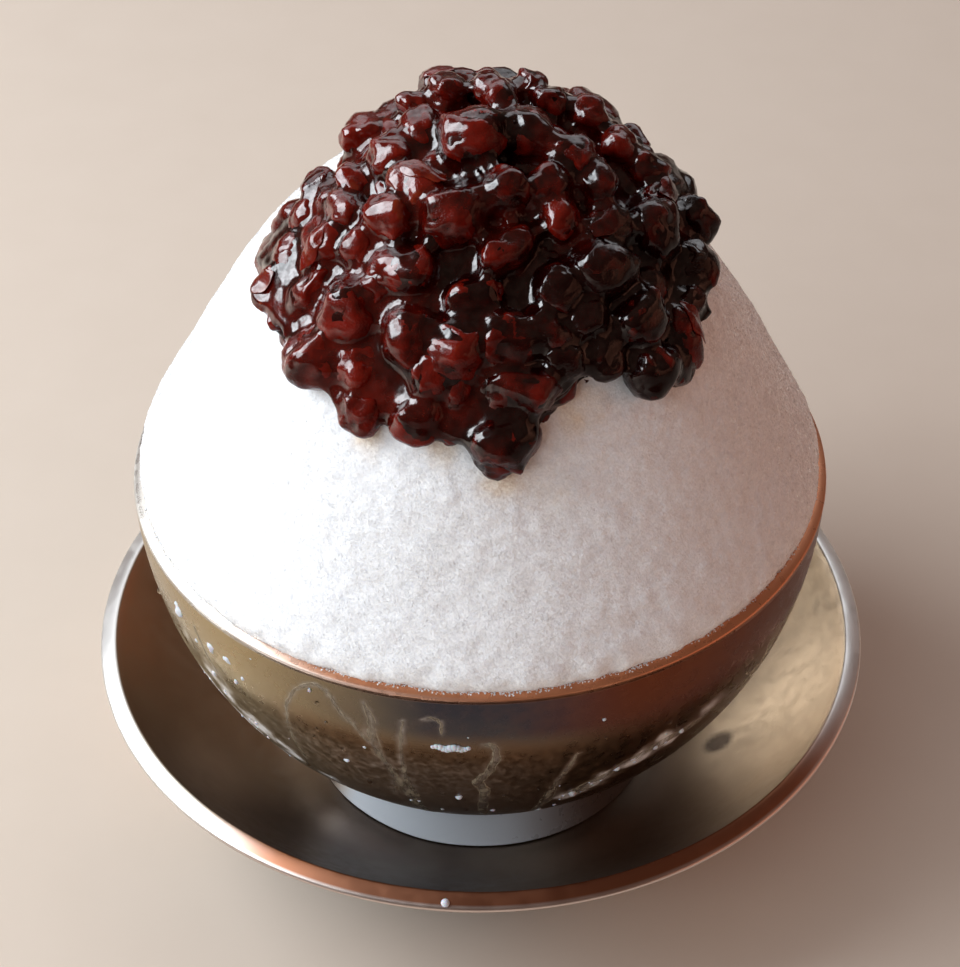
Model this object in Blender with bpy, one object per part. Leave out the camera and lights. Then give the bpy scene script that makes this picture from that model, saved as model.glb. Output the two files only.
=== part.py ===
"""Patbingsu: shaved ice heaped over a forged bronze bowl, topped with sweet red beans, on a deep saucer.

Metres, +Z up. The origin is the middle of the saucer's underside, where the set stands on the table.
Every piece but the bean heap is turned about the Z axis. Touching pieces keep a gap of 0.3 mm.
"""
import math
import random

import bmesh
import bpy
from mathutils import Euler, Matrix, Vector

MM = 0.001
GAP = 0.3 * MM
SIDES = 52

# Saucer
SAUCER_RIM_RADIUS = 75.5 * MM
SAUCER_HEIGHT = 34.1 * MM
SAUCER_FLOOR = 3.0 * MM
SAUCER_FLAT_RADIUS = 37.0 * MM
SAUCER_WALL = 2.0 * MM
SAUCER_RIM_WIDTH = 3.4 * MM
SAUCER_SWEEP = 1.7
SAUCER_ROWS = 6

# Bowl: the outside is a half ellipse standing on a flared foot ring
BOWL_RIM_RADIUS = 65.0 * MM
BOWL_HEIGHT = 72.0 * MM
BOWL_ELLIPSE_DEPTH = 71.5 * MM
BOWL_WALL = 1.8 * MM
BOWL_RIM_WIDTH = 2.2 * MM
BOWL_FLOOR_ABOVE_FOOT = 12.4 * MM
BOWL_ROWS = 7
FOOT_TOP_RADIUS = 33.4 * MM
FOOT_RADIUS = 35.0 * MM
FOOT_WALL = 2.2 * MM
FOOT_FLARE = 1.8 * MM
FOOT_FLARE_HEIGHT = 2.5 * MM
FOOT_NECK_HEIGHT = 7.0 * MM
RIM_ROUNDING = 0.5 * MM

BOWL_BASE_Z = SAUCER_FLOOR + GAP
RIM_Z = BOWL_BASE_Z + BOWL_HEIGHT

# Ice: the mound's outline above the rim, as radius and height
MOUND_OUTLINE = [(r * MM, h * MM) for r, h in (
    (62.4, 0.0), (63.5, 2.5), (62.3, 6.0), (60.2, 10.0), (57.2, 15.0), (53.4, 22.0), (48.8, 30.0),
    (44.0, 38.0), (38.2, 46.0), (31.2, 54.0), (24.6, 60.0), (15.5, 65.0), (0.0, 67.5))]
MOUND_UNEVENNESS = 0.5 * MM

# Bean heap: how far down the mound its edge reaches, as azimuth from the front and radius
HEAP_EDGE = [(math.radians(a), r * MM) for a, r in (
    (-100, 28.5), (-78, 36.0), (-52, 40.4), (-38, 40.6), (-25, 43.6), (-17, 41.4), (-9, 43.8), (3, 47.2),
    (17, 42.2), (29, 38.8), (41, 42.4), (56, 41.6), (74, 37.4), (93, 38.6), (130, 33.0), (165, 30.0),
    (205, 26.0), (235, 25.0))]
HEAP_TOP_THICKNESS = 10.8 * MM
HEAP_SLOPE_THICKNESS = 6.6 * MM
HEAP_EDGE_THICKNESS = 4.4 * MM
HEAP_EDGE_ROUND = 0.12
HEAP_CROWN_REACH = 0.55
HEAP_RIGHT_EXTRA = 1.3 * MM
HEAP_SINK = 2.5 * MM
HEAP_COLUMNS = 48
HEAP_ROWS = 12
HEAP_SEED = 11
HEAP_VOXEL = 0.9 * MM
HEAP_DECIMATE = 0.045
BEAN_COUNT = 118
BEAN_RADII = (5.6 * MM, 4.3 * MM, 3.9 * MM)
BEAN_STAND = 2.9 * MM
GOLDEN_ANGLE = math.pi * (3.0 - math.sqrt(5.0))


def clear_scene():
    for obj in list(bpy.data.objects):
        bpy.data.objects.remove(obj, do_unlink=True)


def make_material(name, colour, roughness, metallic=0.0):
    material = bpy.data.materials.new(name)
    material.use_nodes = True
    shader = material.node_tree.nodes["Principled BSDF"]
    shader.inputs["Base Color"].default_value = (*colour, 1.0)
    shader.inputs["Roughness"].default_value = roughness
    shader.inputs["Metallic"].default_value = metallic
    return material


def add_object(name, bm, material):
    """Close the bmesh into a named, smooth-shaded object with its faces pointing out."""
    bmesh.ops.remove_doubles(bm, verts=bm.verts, dist=1e-6)
    bmesh.ops.recalc_face_normals(bm, faces=bm.faces)
    mesh = bpy.data.meshes.new(name)
    bm.to_mesh(mesh)
    bm.free()
    mesh.shade_smooth()
    mesh.set_sharp_from_angle(angle=math.radians(40))
    if material:
        mesh.materials.append(material)
    obj = bpy.data.objects.new(name, mesh)
    bpy.context.collection.objects.link(obj)
    return obj


def smooth_curve(points, steps):
    """A Catmull-Rom curve through the points, with this many steps on each span."""
    ends = [points[0], *points, points[-1]]
    curve = []
    for before, start, end, after in zip(ends, ends[1:], ends[2:], ends[3:]):
        for step in range(steps):
            t = step / steps
            curve.append(tuple(
                0.5 * (2 * s + (e - b) * t + (2 * b - 5 * s + 4 * e - a) * t**2
                       + (3 * s - b - 3 * e + a) * t**3)
                for b, s, e, a in zip(before, start, end, after)))
    return [*curve, points[-1]]


def spin_profile(profile):
    """Turn a profile of (radius, height) pairs about Z; both of its ends lie on the axis."""
    bm = bmesh.new()
    verts = [bm.verts.new((radius, 0.0, height)) for radius, height in profile]
    edges = [bm.edges.new(pair) for pair in zip(verts, verts[1:])]
    bmesh.ops.spin(bm, geom=verts + edges, cent=(0, 0, 0), axis=(0, 0, 1),
                   angle=2 * math.pi, steps=SIDES, use_merge=True)
    return bm


def rim_top(outer_radius, inner_radius, height):
    """The rim's flat top with its two edges rounded over, from the outside to the inside."""
    return [(outer_radius, height - RIM_ROUNDING),
            (outer_radius - 0.6 * RIM_ROUNDING, height),
            (inner_radius + 0.6 * RIM_ROUNDING, height),
            (inner_radius, height - RIM_ROUNDING)]


# ---------------------------------------------------------------- saucer

def saucer_sweep(out):
    """A point of the inside and its slope, from the flat floor (out = 0) to the rim (out = 1)."""
    run = SAUCER_RIM_RADIUS - SAUCER_RIM_WIDTH - SAUCER_FLAT_RADIUS
    depth = SAUCER_HEIGHT - SAUCER_FLOOR
    slope = math.atan2(depth * SAUCER_SWEEP * out**(SAUCER_SWEEP - 1.0), run)
    return SAUCER_FLAT_RADIUS + run * out, SAUCER_FLOOR + depth * out**SAUCER_SWEEP, slope


def saucer_outside_point(out):
    """The outside lies one wall off the inside, thicker at the rim and at the base."""
    radius, height, slope = saucer_sweep(out)
    wall = SAUCER_WALL + (SAUCER_RIM_WIDTH - SAUCER_WALL) * out**6
    base = (SAUCER_FLOOR - SAUCER_WALL) * (1.0 - out)**3
    return radius + wall * math.sin(slope), height - wall * math.cos(slope) - base


def build_saucer(material):
    shares = [row / SAUCER_ROWS for row in range(SAUCER_ROWS)]
    outside = [saucer_outside_point(out) for out in shares]
    inside = [saucer_sweep(out)[:2] for out in reversed(shares)]
    top = rim_top(SAUCER_RIM_RADIUS, SAUCER_RIM_RADIUS - SAUCER_RIM_WIDTH, SAUCER_HEIGHT)
    profile = [(0.0, 0.0), *outside, *top, *inside, (0.0, SAUCER_FLOOR)]
    return add_object("saucer", spin_profile(profile), material)


# ---------------------------------------------------------------- bowl

def ellipse_arc(wall, end_depth):
    """Points down the ellipse one wall inside the bowl's outside, from below the rim to a depth."""
    radius = BOWL_RIM_RADIUS - wall
    full_depth = BOWL_ELLIPSE_DEPTH - wall
    end_angle = math.asin(end_depth / full_depth)
    angles = [end_angle * row / BOWL_ROWS for row in range(1, BOWL_ROWS + 1)]
    return [(radius * math.cos(angle), RIM_Z - full_depth * math.sin(angle)) for angle in angles]


def bowl_inside():
    """The inside below the rim, down to the edge of the flat floor."""
    return ellipse_arc(BOWL_WALL, BOWL_HEIGHT - BOWL_FLOOR_ABOVE_FOOT)


def bowl_outside():
    """The outside below the rim, down to where the foot starts."""
    return ellipse_arc(0.0, BOWL_ELLIPSE_DEPTH * math.sqrt(1.0 - (FOOT_TOP_RADIUS / BOWL_RIM_RADIUS)**2))


def build_bowl(material):
    floor_z = bowl_inside()[-1][1]
    under_z = floor_z - BOWL_WALL
    foot_outside = [(FOOT_RADIUS, BOWL_BASE_Z),
                    (FOOT_RADIUS - 0.5 * FOOT_FLARE, BOWL_BASE_Z + FOOT_FLARE_HEIGHT),
                    (FOOT_RADIUS - FOOT_FLARE, BOWL_BASE_Z + FOOT_NECK_HEIGHT)]
    foot_inside = [(FOOT_RADIUS - FOOT_WALL - FOOT_FLARE, under_z), (FOOT_RADIUS - FOOT_WALL, BOWL_BASE_Z)]
    top = rim_top(BOWL_RIM_RADIUS, BOWL_RIM_RADIUS - BOWL_RIM_WIDTH, RIM_Z)
    profile = [(0.0, under_z), *foot_inside, *foot_outside, *reversed(bowl_outside()), *top,
               *bowl_inside(), (0.0, floor_z)]
    return add_object("bowl", spin_profile(profile), material)


# ---------------------------------------------------------------- shaved ice

def mound_curve(steps):
    """The mound's outline from the rim to the top, with this many steps on each of its spans."""
    return [(radius, RIM_Z + height) for radius, height in smooth_curve(MOUND_OUTLINE, steps)]


def mound_shift(azimuth, height):
    """How far the hand-shaped mound stands out from a turned one; nothing at the rim or the top."""
    share = (height - RIM_Z) / MOUND_OUTLINE[-1][1]
    fade = math.sin(math.pi * min(max(share, 0.0), 1.0))
    return MOUND_UNEVENNESS * fade * (math.sin(2 * azimuth + 0.6) + 0.6 * math.sin(3 * azimuth + 7 * share))


def shape_mound_by_hand(bm):
    """Move the turned mound's points out or in by the hand shaping; points on the axis stay."""
    for vert in bm.verts:
        radius = math.hypot(vert.co.x, vert.co.y)
        if vert.co.z > RIM_Z and radius > MM:
            shift = mound_shift(math.atan2(vert.co.x, -vert.co.y), vert.co.z)
            vert.co.x *= 1.0 + shift / radius
            vert.co.y *= 1.0 + shift / radius


def build_ice(material):
    """The ice fills the bowl one gap off its inside and rises from the rim as the mound."""
    rim_inside = [(BOWL_RIM_RADIUS - BOWL_RIM_WIDTH, RIM_Z - RIM_ROUNDING)]
    packed = [(radius - GAP, height) for radius, height in rim_inside + bowl_inside()]
    floor_z = packed[-1][1] + GAP
    packed[-1] = (packed[-1][0], floor_z)
    mound = mound_curve(1)
    bm = spin_profile([(0.0, floor_z), *reversed(packed), *mound[1:]])
    shape_mound_by_hand(bm)
    return add_object("shaved_ice", bm, material)


# ---------------------------------------------------------------- red bean heap

def edge_radius(azimuth):
    """The heap's reach at an azimuth, blended smoothly between the outline's points."""
    full_turn = 2 * math.pi
    turned = (azimuth - HEAP_EDGE[0][0]) % full_turn + HEAP_EDGE[0][0]
    closed = [*HEAP_EDGE, (HEAP_EDGE[0][0] + full_turn, HEAP_EDGE[0][1])]
    for (start, start_radius), (end, end_radius) in zip(closed, closed[1:]):
        if start <= turned <= end:
            t = (turned - start) / (end - start)
            blend = t * t * (3 - 2 * t)
            return start_radius + (end_radius - start_radius) * blend
    return HEAP_EDGE[0][1]


class MoundSurface:
    """The mound's outline measured by the distance along it from the top."""

    def __init__(self):
        self.points = list(reversed(mound_curve(4)))
        self.lengths = [0.0]
        for (r0, z0), (r1, z1) in zip(self.points, self.points[1:]):
            self.lengths.append(self.lengths[-1] + math.hypot(r1 - r0, z1 - z0))

    def length_to(self, radius):
        for index, (r1, _) in enumerate(self.points):
            if r1 >= radius:
                r0 = self.points[index - 1][0]
                t = (radius - r0) / (r1 - r0)
                return self.lengths[index - 1] + t * (self.lengths[index] - self.lengths[index - 1])
        return self.lengths[-1]

    def place(self, azimuth, length, lift):
        """A point at this distance down the slope, raised off the ice along the surface's normal."""
        index = 1
        while index < len(self.lengths) - 1 and self.lengths[index] < length:
            index += 1
        (r0, z0), (r1, z1) = self.points[index - 1], self.points[index]
        t = (length - self.lengths[index - 1]) / (self.lengths[index] - self.lengths[index - 1])
        radius = r0 + (r1 - r0) * t
        height = z0 + (z1 - z0) * t
        slope = math.atan2(z0 - z1, r1 - r0) * min(1.0, length / (6 * MM))
        radius += lift * math.sin(slope) + (mound_shift(azimuth, height) if length > 0 else 0.0)
        height += lift * math.cos(slope)
        return Vector((radius * math.sin(azimuth), -radius * math.cos(azimuth), height))


def heap_thickness(azimuth, reach):
    """The thickness of the heap: deepest on top, even down the slope, rounded off at the edge."""
    near_top = max(0.0, 1.0 - reach / HEAP_CROWN_REACH)
    top_share = near_top * near_top * (3 - 2 * near_top)
    depth = HEAP_SLOPE_THICKNESS + (HEAP_TOP_THICKNESS - HEAP_SLOPE_THICKNESS) * top_share
    depth += HEAP_RIGHT_EXTRA * math.sin(azimuth) * math.sin(math.pi * reach)
    to_edge = min(1.0, (1.0 - reach) / HEAP_EDGE_ROUND)
    return HEAP_EDGE_THICKNESS + (depth - HEAP_EDGE_THICKNESS) * math.sqrt(1.0 - (1.0 - to_edge)**2)


def add_paste(bm, surface):
    """The mashed paste that carries the beans: a cap whose underside is sunk into the mound."""
    def ring(row, on_top):
        reach = row / HEAP_ROWS
        verts = []
        for column in range(HEAP_COLUMNS):
            azimuth = 2 * math.pi * column / HEAP_COLUMNS
            length = reach * surface.length_to(edge_radius(azimuth))
            lift = heap_thickness(azimuth, reach) - BEAN_STAND if on_top else -HEAP_SINK
            verts.append(bm.verts.new(surface.place(azimuth, length, lift)))
        return verts

    rings = [ring(row, True) for row in range(1, HEAP_ROWS + 1)]
    rings += [ring(row, False) for row in range(HEAP_ROWS, 0, -1)]
    for upper, lower in zip(rings, rings[1:]):
        for column in range(HEAP_COLUMNS):
            after = (column + 1) % HEAP_COLUMNS
            bm.faces.new((upper[column], upper[after], lower[after], lower[column]))
    bm.faces.new(rings[0])
    bm.faces.new(rings[-1])
    bmesh.ops.recalc_face_normals(bm, faces=bm.faces)


def add_beans(bm, surface, rng):
    """Whole beans spread over the paste on a golden-angle spiral, each pushed aside and turned."""
    for index in range(BEAN_COUNT):
        azimuth = index * GOLDEN_ANGLE + rng.uniform(-0.1, 0.1)
        reach = min(0.97, 0.98 * math.sqrt((index + 0.5) / BEAN_COUNT) + rng.uniform(-0.02, 0.02))
        length = reach * surface.length_to(edge_radius(azimuth))
        lift = heap_thickness(azimuth, reach) - BEAN_RADII[2] - rng.uniform(0.0, 0.8) * MM
        turn = Euler([rng.uniform(0, math.pi) for _ in range(3)]).to_matrix().to_4x4()
        size = Matrix.Diagonal([*(radius * rng.uniform(0.85, 1.2) for radius in BEAN_RADII), 1.0])
        place = Matrix.Translation(surface.place(azimuth, length, lift))
        bmesh.ops.create_icosphere(bm, subdivisions=3, radius=1.0, matrix=place @ turn @ size)


def build_mound_cutter():
    """The mound grown by the gap, which hollows the heap's underside to sit on the ice."""
    *slope, top = mound_curve(2)
    grown = [(radius + GAP, height + GAP) for radius, height in slope]
    bm = spin_profile([(0.0, RIM_Z), *grown, (0.0, top[1] + GAP)])
    shape_mound_by_hand(bm)
    cutter = add_object("mound_cutter", bm, None)
    cutter.hide_render = True
    cutter.display_type = "WIRE"
    return cutter


def build_heap(material):
    surface = MoundSurface()
    bm = bmesh.new()
    add_paste(bm, surface)
    add_beans(bm, surface, random.Random(HEAP_SEED))
    mesh = bpy.data.meshes.new("red_bean_heap")
    bm.to_mesh(mesh)
    bm.free()
    mesh.shade_smooth()
    mesh.materials.append(material)
    heap = bpy.data.objects.new("red_bean_heap", mesh)
    bpy.context.collection.objects.link(heap)
    fuse = heap.modifiers.new("fuse_beans_and_paste", "REMESH")
    fuse.mode = "VOXEL"
    fuse.voxel_size = HEAP_VOXEL
    fuse.use_smooth_shade = True
    thin = heap.modifiers.new("thin_mesh", "DECIMATE")
    thin.ratio = HEAP_DECIMATE
    seat = heap.modifiers.new("seat_on_ice", "BOOLEAN")
    seat.operation = "DIFFERENCE"
    seat.object = build_mound_cutter()
    return heap


def main():
    clear_scene()
    bronze = make_material("forged_bronze", (0.46, 0.36, 0.22), 0.28, 1.0)
    ice = make_material("shaved_ice", (0.90, 0.93, 0.95), 0.55)
    beans = make_material("sweet_red_bean", (0.075, 0.010, 0.007), 0.18)
    build_saucer(bronze)
    build_bowl(bronze)
    build_ice(ice)
    build_heap(beans)


main()
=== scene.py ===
# %% [markdown]
# # Patbingsu, piece by piece
# Shaved ice piled over a bronze bowl, a heap of sweet red beans on top, a deep saucer below.
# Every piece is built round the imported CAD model: metres, +Z up, the front at -Y.
# The CAD says where things are and how big; this script gives them their real surface.

# %% Load the frame
import math
import random

import bmesh
import bpy
import numpy as np
from mathutils import Euler, Matrix, Vector, noise
from mathutils.bvhtree import BVHTree


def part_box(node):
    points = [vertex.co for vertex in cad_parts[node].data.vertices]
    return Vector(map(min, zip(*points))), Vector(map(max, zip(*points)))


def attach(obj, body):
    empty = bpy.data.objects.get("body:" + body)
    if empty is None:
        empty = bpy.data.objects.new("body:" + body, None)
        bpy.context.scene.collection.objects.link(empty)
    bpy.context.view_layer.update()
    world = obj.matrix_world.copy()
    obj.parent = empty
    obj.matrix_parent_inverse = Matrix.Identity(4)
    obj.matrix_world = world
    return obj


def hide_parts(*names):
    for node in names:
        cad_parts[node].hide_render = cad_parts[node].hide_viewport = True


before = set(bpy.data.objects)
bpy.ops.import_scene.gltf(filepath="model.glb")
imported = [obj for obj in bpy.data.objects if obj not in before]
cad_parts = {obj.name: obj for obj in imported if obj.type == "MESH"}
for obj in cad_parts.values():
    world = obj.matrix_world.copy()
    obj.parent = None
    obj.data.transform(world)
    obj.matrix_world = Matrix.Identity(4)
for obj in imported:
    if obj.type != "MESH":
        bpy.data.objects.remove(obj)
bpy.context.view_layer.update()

MM = 0.001
print("CAD nodes:", sorted(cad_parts))

# %% [markdown]
# ## Measures
# The bowl and saucer are turned, so a few radii and heights from the CAD boxes place all
# the rest. The mound's outline is a short list of radii and heights above the bowl's rim.

# %% Sizes read from the frame
SAUCER_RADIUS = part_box("saucer")[1].x
SAUCER_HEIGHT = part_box("saucer")[1].z
BOWL_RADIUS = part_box("bowl")[1].x
BOWL_FOOT_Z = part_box("bowl")[0].z
RIM_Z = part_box("bowl")[1].z
ICE_FLOOR_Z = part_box("shaved_ice")[0].z
ICE_TOP_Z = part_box("shaved_ice")[1].z
print(f"bowl {2 * BOWL_RADIUS / MM:.0f} mm across, its rim {RIM_Z / MM:.1f} mm up")
print(f"ice up to {ICE_TOP_Z / MM:.1f} mm")

# %% [markdown]
# ## Helpers for node trees
# Materials and Geometry Nodes are both node trees, so one small helper serves both: it adds
# a node, sets its options, and fills each input with a number or with another node's output.

# %% Node helpers
def fill(tree, socket, value):
    """Set a socket to a plain value, or link another node's output into it."""
    if isinstance(value, bpy.types.NodeSocket):
        tree.links.new(value, socket)
    else:
        socket.default_value = value


def add_node(tree, kind, inputs=None, **settings):
    """One node with its settings; inputs are given by socket name or number."""
    made = tree.nodes.new(kind)
    for key, value in settings.items():
        setattr(made, key, value)
    for key, value in (inputs or {}).items():
        fill(tree, made.inputs[key], value)
    return made


def calc(tree, operation, *values):
    """A Math node's result."""
    return add_node(tree, "ShaderNodeMath", dict(enumerate(values)), operation=operation).outputs[0]


def vector_calc(tree, operation, *values, out="Vector"):
    """A Vector Math node's result."""
    made = add_node(tree, "ShaderNodeVectorMath", dict(enumerate(values)), operation=operation)
    return made.outputs[out]


# %% Ranges, colours and noise
def ramp(tree, value, low, high, to_low=0.0, to_high=1.0):
    """Value eased from to_low to to_high as it goes from low to high."""
    made = add_node(tree, "ShaderNodeMapRange", {0: value, 1: low, 2: high, 3: to_low, 4: to_high},
                    interpolation_type="SMOOTHSTEP")
    return made.outputs[0]


def mix_colour(tree, share, first, second):
    """The first colour at share 0, the second at share 1; each is a socket or three numbers."""
    first, second = [(*colour, 1.0) if isinstance(colour, tuple) else colour for colour in (first, second)]
    made = add_node(tree, "ShaderNodeMix", {0: share, 6: first, 7: second}, data_type="RGBA")
    return made.outputs[2]


def noise_value(tree, place, scale, detail=2.0, **settings):
    """Soft noise, about 0.5 on average; scale is in lumps per metre."""
    made = add_node(tree, "ShaderNodeTexNoise", {"Vector": place, "Scale": scale, "Detail": detail},
                    **settings)
    return made.outputs["Fac"]


# %% Groups and finishes
def make_group(name, kind, inputs, outputs):
    """An empty node group with named sockets. Returns it with its input and output sockets."""
    tree = bpy.data.node_groups.new(name, kind)
    for label, (socket_type, default) in inputs.items():
        socket = tree.interface.new_socket(label, in_out="INPUT", socket_type=socket_type)
        if default is not None:
            socket.default_value = default
    for label, socket_type in outputs.items():
        tree.interface.new_socket(label, in_out="OUTPUT", socket_type=socket_type)
    return tree, tree.nodes.new("NodeGroupInput").outputs, tree.nodes.new("NodeGroupOutput").inputs


def use_group(tree, group, inputs):
    """Place a shader node group in a material; returns its output sockets."""
    made = tree.nodes.new("ShaderNodeGroup")
    made.node_tree = group
    for key, value in inputs.items():
        fill(tree, made.inputs[key], value)
    return made.outputs


def make_finish(name, **constants):
    """A material with one Principled shader; its constants are set on the shader's own sockets."""
    material = bpy.data.materials.new(name)
    material.use_nodes = True
    tree = material.node_tree
    shader = tree.nodes["Principled BSDF"]
    for key, value in constants.items():
        shader.inputs[key.replace("_", " ")].default_value = value
    place = tree.nodes.new("ShaderNodeTexCoord").outputs["Object"]
    return material, tree, shader.inputs, place


def add_relief(tree, shader, strength, distance, height, **more):
    """Fine relief that turns the shader's normal, from a height."""
    bump = add_node(tree, "ShaderNodeBump",
                    {"Strength": strength, "Distance": distance, "Height": height, **more})
    fill(tree, shader["Normal"], bump.outputs[0])


def end_tree(tree, geometry, finish, result):
    """End a Geometry Nodes tree with real meshes instead of instances, in their material."""
    real = add_node(tree, "GeometryNodeRealizeInstances", {0: geometry})
    finished = add_node(tree, "GeometryNodeSetMaterial", {"Geometry": real.outputs[0], "Material": finish})
    fill(tree, result, finished.outputs[0])


VALUE, VECTOR, COUNT = "NodeSocketFloat", "NodeSocketVector", "NodeSocketInt"
GEOMETRY, MATERIAL = "NodeSocketGeometry", "NodeSocketMaterial"


# %% Helpers for pieces
def grow(tree, start, name, values):
    """Run a Geometry Nodes tree on a mesh and return the result as a plain mesh object."""
    seed = bpy.data.objects.new(name + ".seed", start)
    bpy.context.scene.collection.objects.link(seed)
    modifier = seed.modifiers.new("grow", "NODES")
    modifier.node_group = tree
    for item in tree.interface.items_tree:
        if item.in_out == "INPUT" and item.name in values:
            modifier[item.identifier] = values[item.name]
    bpy.context.view_layer.update()
    evaluated = seed.evaluated_get(bpy.context.evaluated_depsgraph_get())
    mesh = bpy.data.meshes.new_from_object(evaluated)
    bpy.data.objects.remove(seed)
    return link_piece(name, mesh)


def link_piece(name, mesh, finish=None):
    """Put a mesh in the scene as a smooth-shaded object at the origin."""
    mesh.name = name
    piece = bpy.data.objects.new(name, mesh)
    bpy.context.scene.collection.objects.link(piece)
    if finish:
        mesh.materials.clear()
        mesh.materials.append(finish)
    mesh.shade_smooth()
    return piece


def settle(piece, slot, *nodes):
    """Put the piece on the root body, hide the CAD nodes it stands for and print its size; the slot is not
    used.
    """
    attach(piece, "root")
    if nodes:
        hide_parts(*nodes)
    triangles = sum(len(face.vertices) - 2 for face in piece.data.polygons)
    print(f"{piece.name}: {triangles} triangles, {len(piece.data.vertices)} points")


def mesh_from(bm, name):
    """A new mesh with what was made in a bmesh, which is freed."""
    mesh = bpy.data.meshes.new(name)
    bm.to_mesh(mesh)
    bm.free()
    return mesh


# %% Points of a mesh
def close_up(mesh, merge=1e-6):
    """Merge doubled points and turn all faces outwards."""
    bm = bmesh.new()
    bm.from_mesh(mesh)
    bmesh.ops.remove_doubles(bm, verts=bm.verts, dist=merge)
    bmesh.ops.recalc_face_normals(bm, faces=bm.faces)
    bm.to_mesh(mesh)
    bm.free()


def points_of(mesh):
    """The mesh's points as an array, one row each."""
    flat = np.empty(len(mesh.vertices) * 3)
    mesh.vertices.foreach_get("co", flat)
    return flat.reshape(-1, 3)


def normals_of(mesh):
    """The mesh's point normals as an array, one row each."""
    flat = np.empty(len(mesh.vertices) * 3)
    mesh.vertex_normals.foreach_get("vector", flat)
    return flat.reshape(-1, 3)


def set_points(mesh, points):
    """Move the mesh's points to the given places."""
    mesh.vertices.foreach_set("co", points.astype(np.float32).ravel())
    mesh.update()


def set_share(mesh, name, values):
    """Store one number for each point, for a material to read as an attribute."""
    attribute = mesh.attributes.new(name, "FLOAT", "POINT")
    attribute.data.foreach_set("value", np.asarray(values, np.float32))


def lumps(points, size, seed):
    """Smooth noise from -1 to 1 at each point, with lumps about this large."""
    shift = Vector((seed * 7.31, seed * 3.17, seed * 5.71))
    return np.array([noise.noise(Vector(point) / size + shift) for point in points])


# %% A smooth curve
def smooth_curve(points, steps):
    """A Catmull-Rom curve through the points, with this many steps on each span."""
    ends = [points[0], *points, points[-1]]
    curve = []
    for before, start, end, after in zip(ends, ends[1:], ends[2:], ends[3:]):
        for step in range(steps):
            t = step / steps
            curve.append(tuple(
                0.5 * (2 * s + (e - b) * t + (2 * b - 5 * s + 4 * e - a) * t**2
                       + (3 * s - b - 3 * e + a) * t**3)
                for b, s, e, a in zip(before, start, end, after)))
    return [*curve, points[-1]]


# %% [markdown]
# ## The lathe
# Bowl, saucer and the ice under its rough surface are all turned shapes. A Geometry Nodes
# lathe makes them: a grid with a row for each point of the profile, its columns wrapped
# round the Z axis. One tree serves every turned piece, with the number of sides as an input.
# A Screw modifier could turn a profile too. The tree was chosen because it also closes the
# poles and sets the finish, and because everything it does can be read below.

# %% Lathe tree
def build_lathe():
    """The lathe: a grid of profile rows and side columns, bent round and closed."""
    tree, given, result = make_group("lathe", "GeometryNodeTree", {
        "Profile": (GEOMETRY, None), "Sides": (COUNT, 96), "Finish": (MATERIAL, None)},
        {"Turned": GEOMETRY})
    rows = add_node(tree, "GeometryNodeAttributeDomainSize", {0: given["Profile"]}).outputs["Point Count"]
    columns = calc(tree, "ADD", given["Sides"], 1.0)
    grid = add_node(tree, "GeometryNodeMeshGrid", {"Vertices X": columns, "Vertices Y": rows})
    index = tree.nodes.new("GeometryNodeInputIndex").outputs[0]
    row = calc(tree, "MODULO", index, rows)
    column = calc(tree, "FLOOR", calc(tree, "DIVIDE", calc(tree, "ADD", index, 0.5), rows))
    angle = calc(tree, "MULTIPLY", calc(tree, "DIVIDE", column, given["Sides"]), 2 * math.pi)
    sample = add_node(tree, "GeometryNodeSampleIndex", {"Geometry": given["Profile"], "Index": row},
                      data_type="FLOAT_VECTOR")
    fill(tree, sample.inputs["Value"], tree.nodes.new("GeometryNodeInputPosition").outputs[0])
    profile = add_node(tree, "ShaderNodeSeparateXYZ", {0: sample.outputs["Value"]}).outputs
    place = add_node(tree, "ShaderNodeCombineXYZ", {
        "X": calc(tree, "MULTIPLY", profile["X"], calc(tree, "COSINE", angle)),
        "Y": calc(tree, "MULTIPLY", profile["X"], calc(tree, "SINE", angle)),
        "Z": profile["Z"]}).outputs[0]
    turned = add_node(tree, "GeometryNodeSetPosition", {"Geometry": grid.outputs["Mesh"], "Position": place})
    merged = add_node(tree, "GeometryNodeMergeByDistance", {"Geometry": turned.outputs[0], "Distance": 1e-6})
    end_tree(tree, merged.outputs[0], given["Finish"], result["Turned"])
    return tree


# %% Turn a profile
def turn(name, profile, sides, finish):
    """A closed turned piece from a profile of (radius, height) pairs that ends on the axis."""
    line = bpy.data.meshes.new(name + ".profile")
    line.from_pydata([(radius, 0.0, height) for radius, height in profile],
                     [(i, i + 1) for i in range(len(profile) - 1)], [])
    piece = grow(LATHE, line, name, {"Sides": sides, "Finish": finish})
    close_up(piece.data)
    piece.data.shade_smooth()
    return piece


LATHE = build_lathe()
print("lathe tree:", len(LATHE.nodes), "nodes")

# %% [markdown]
# ## Finishes shared by several pieces
# Forged bronze is turned on a lathe after hammering, so bowl and saucer both show very fine
# rings. Ice is a mass of tiny flat crystals that each catch the light their own way. Beans,
# paste and skins are all coated in the same syrup, which lies over fine wrinkles.
# Each of these is a shader node group with named inputs, placed in every material it suits.
# The same nodes could be copied into each material, but then every change would be made twice.

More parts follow.
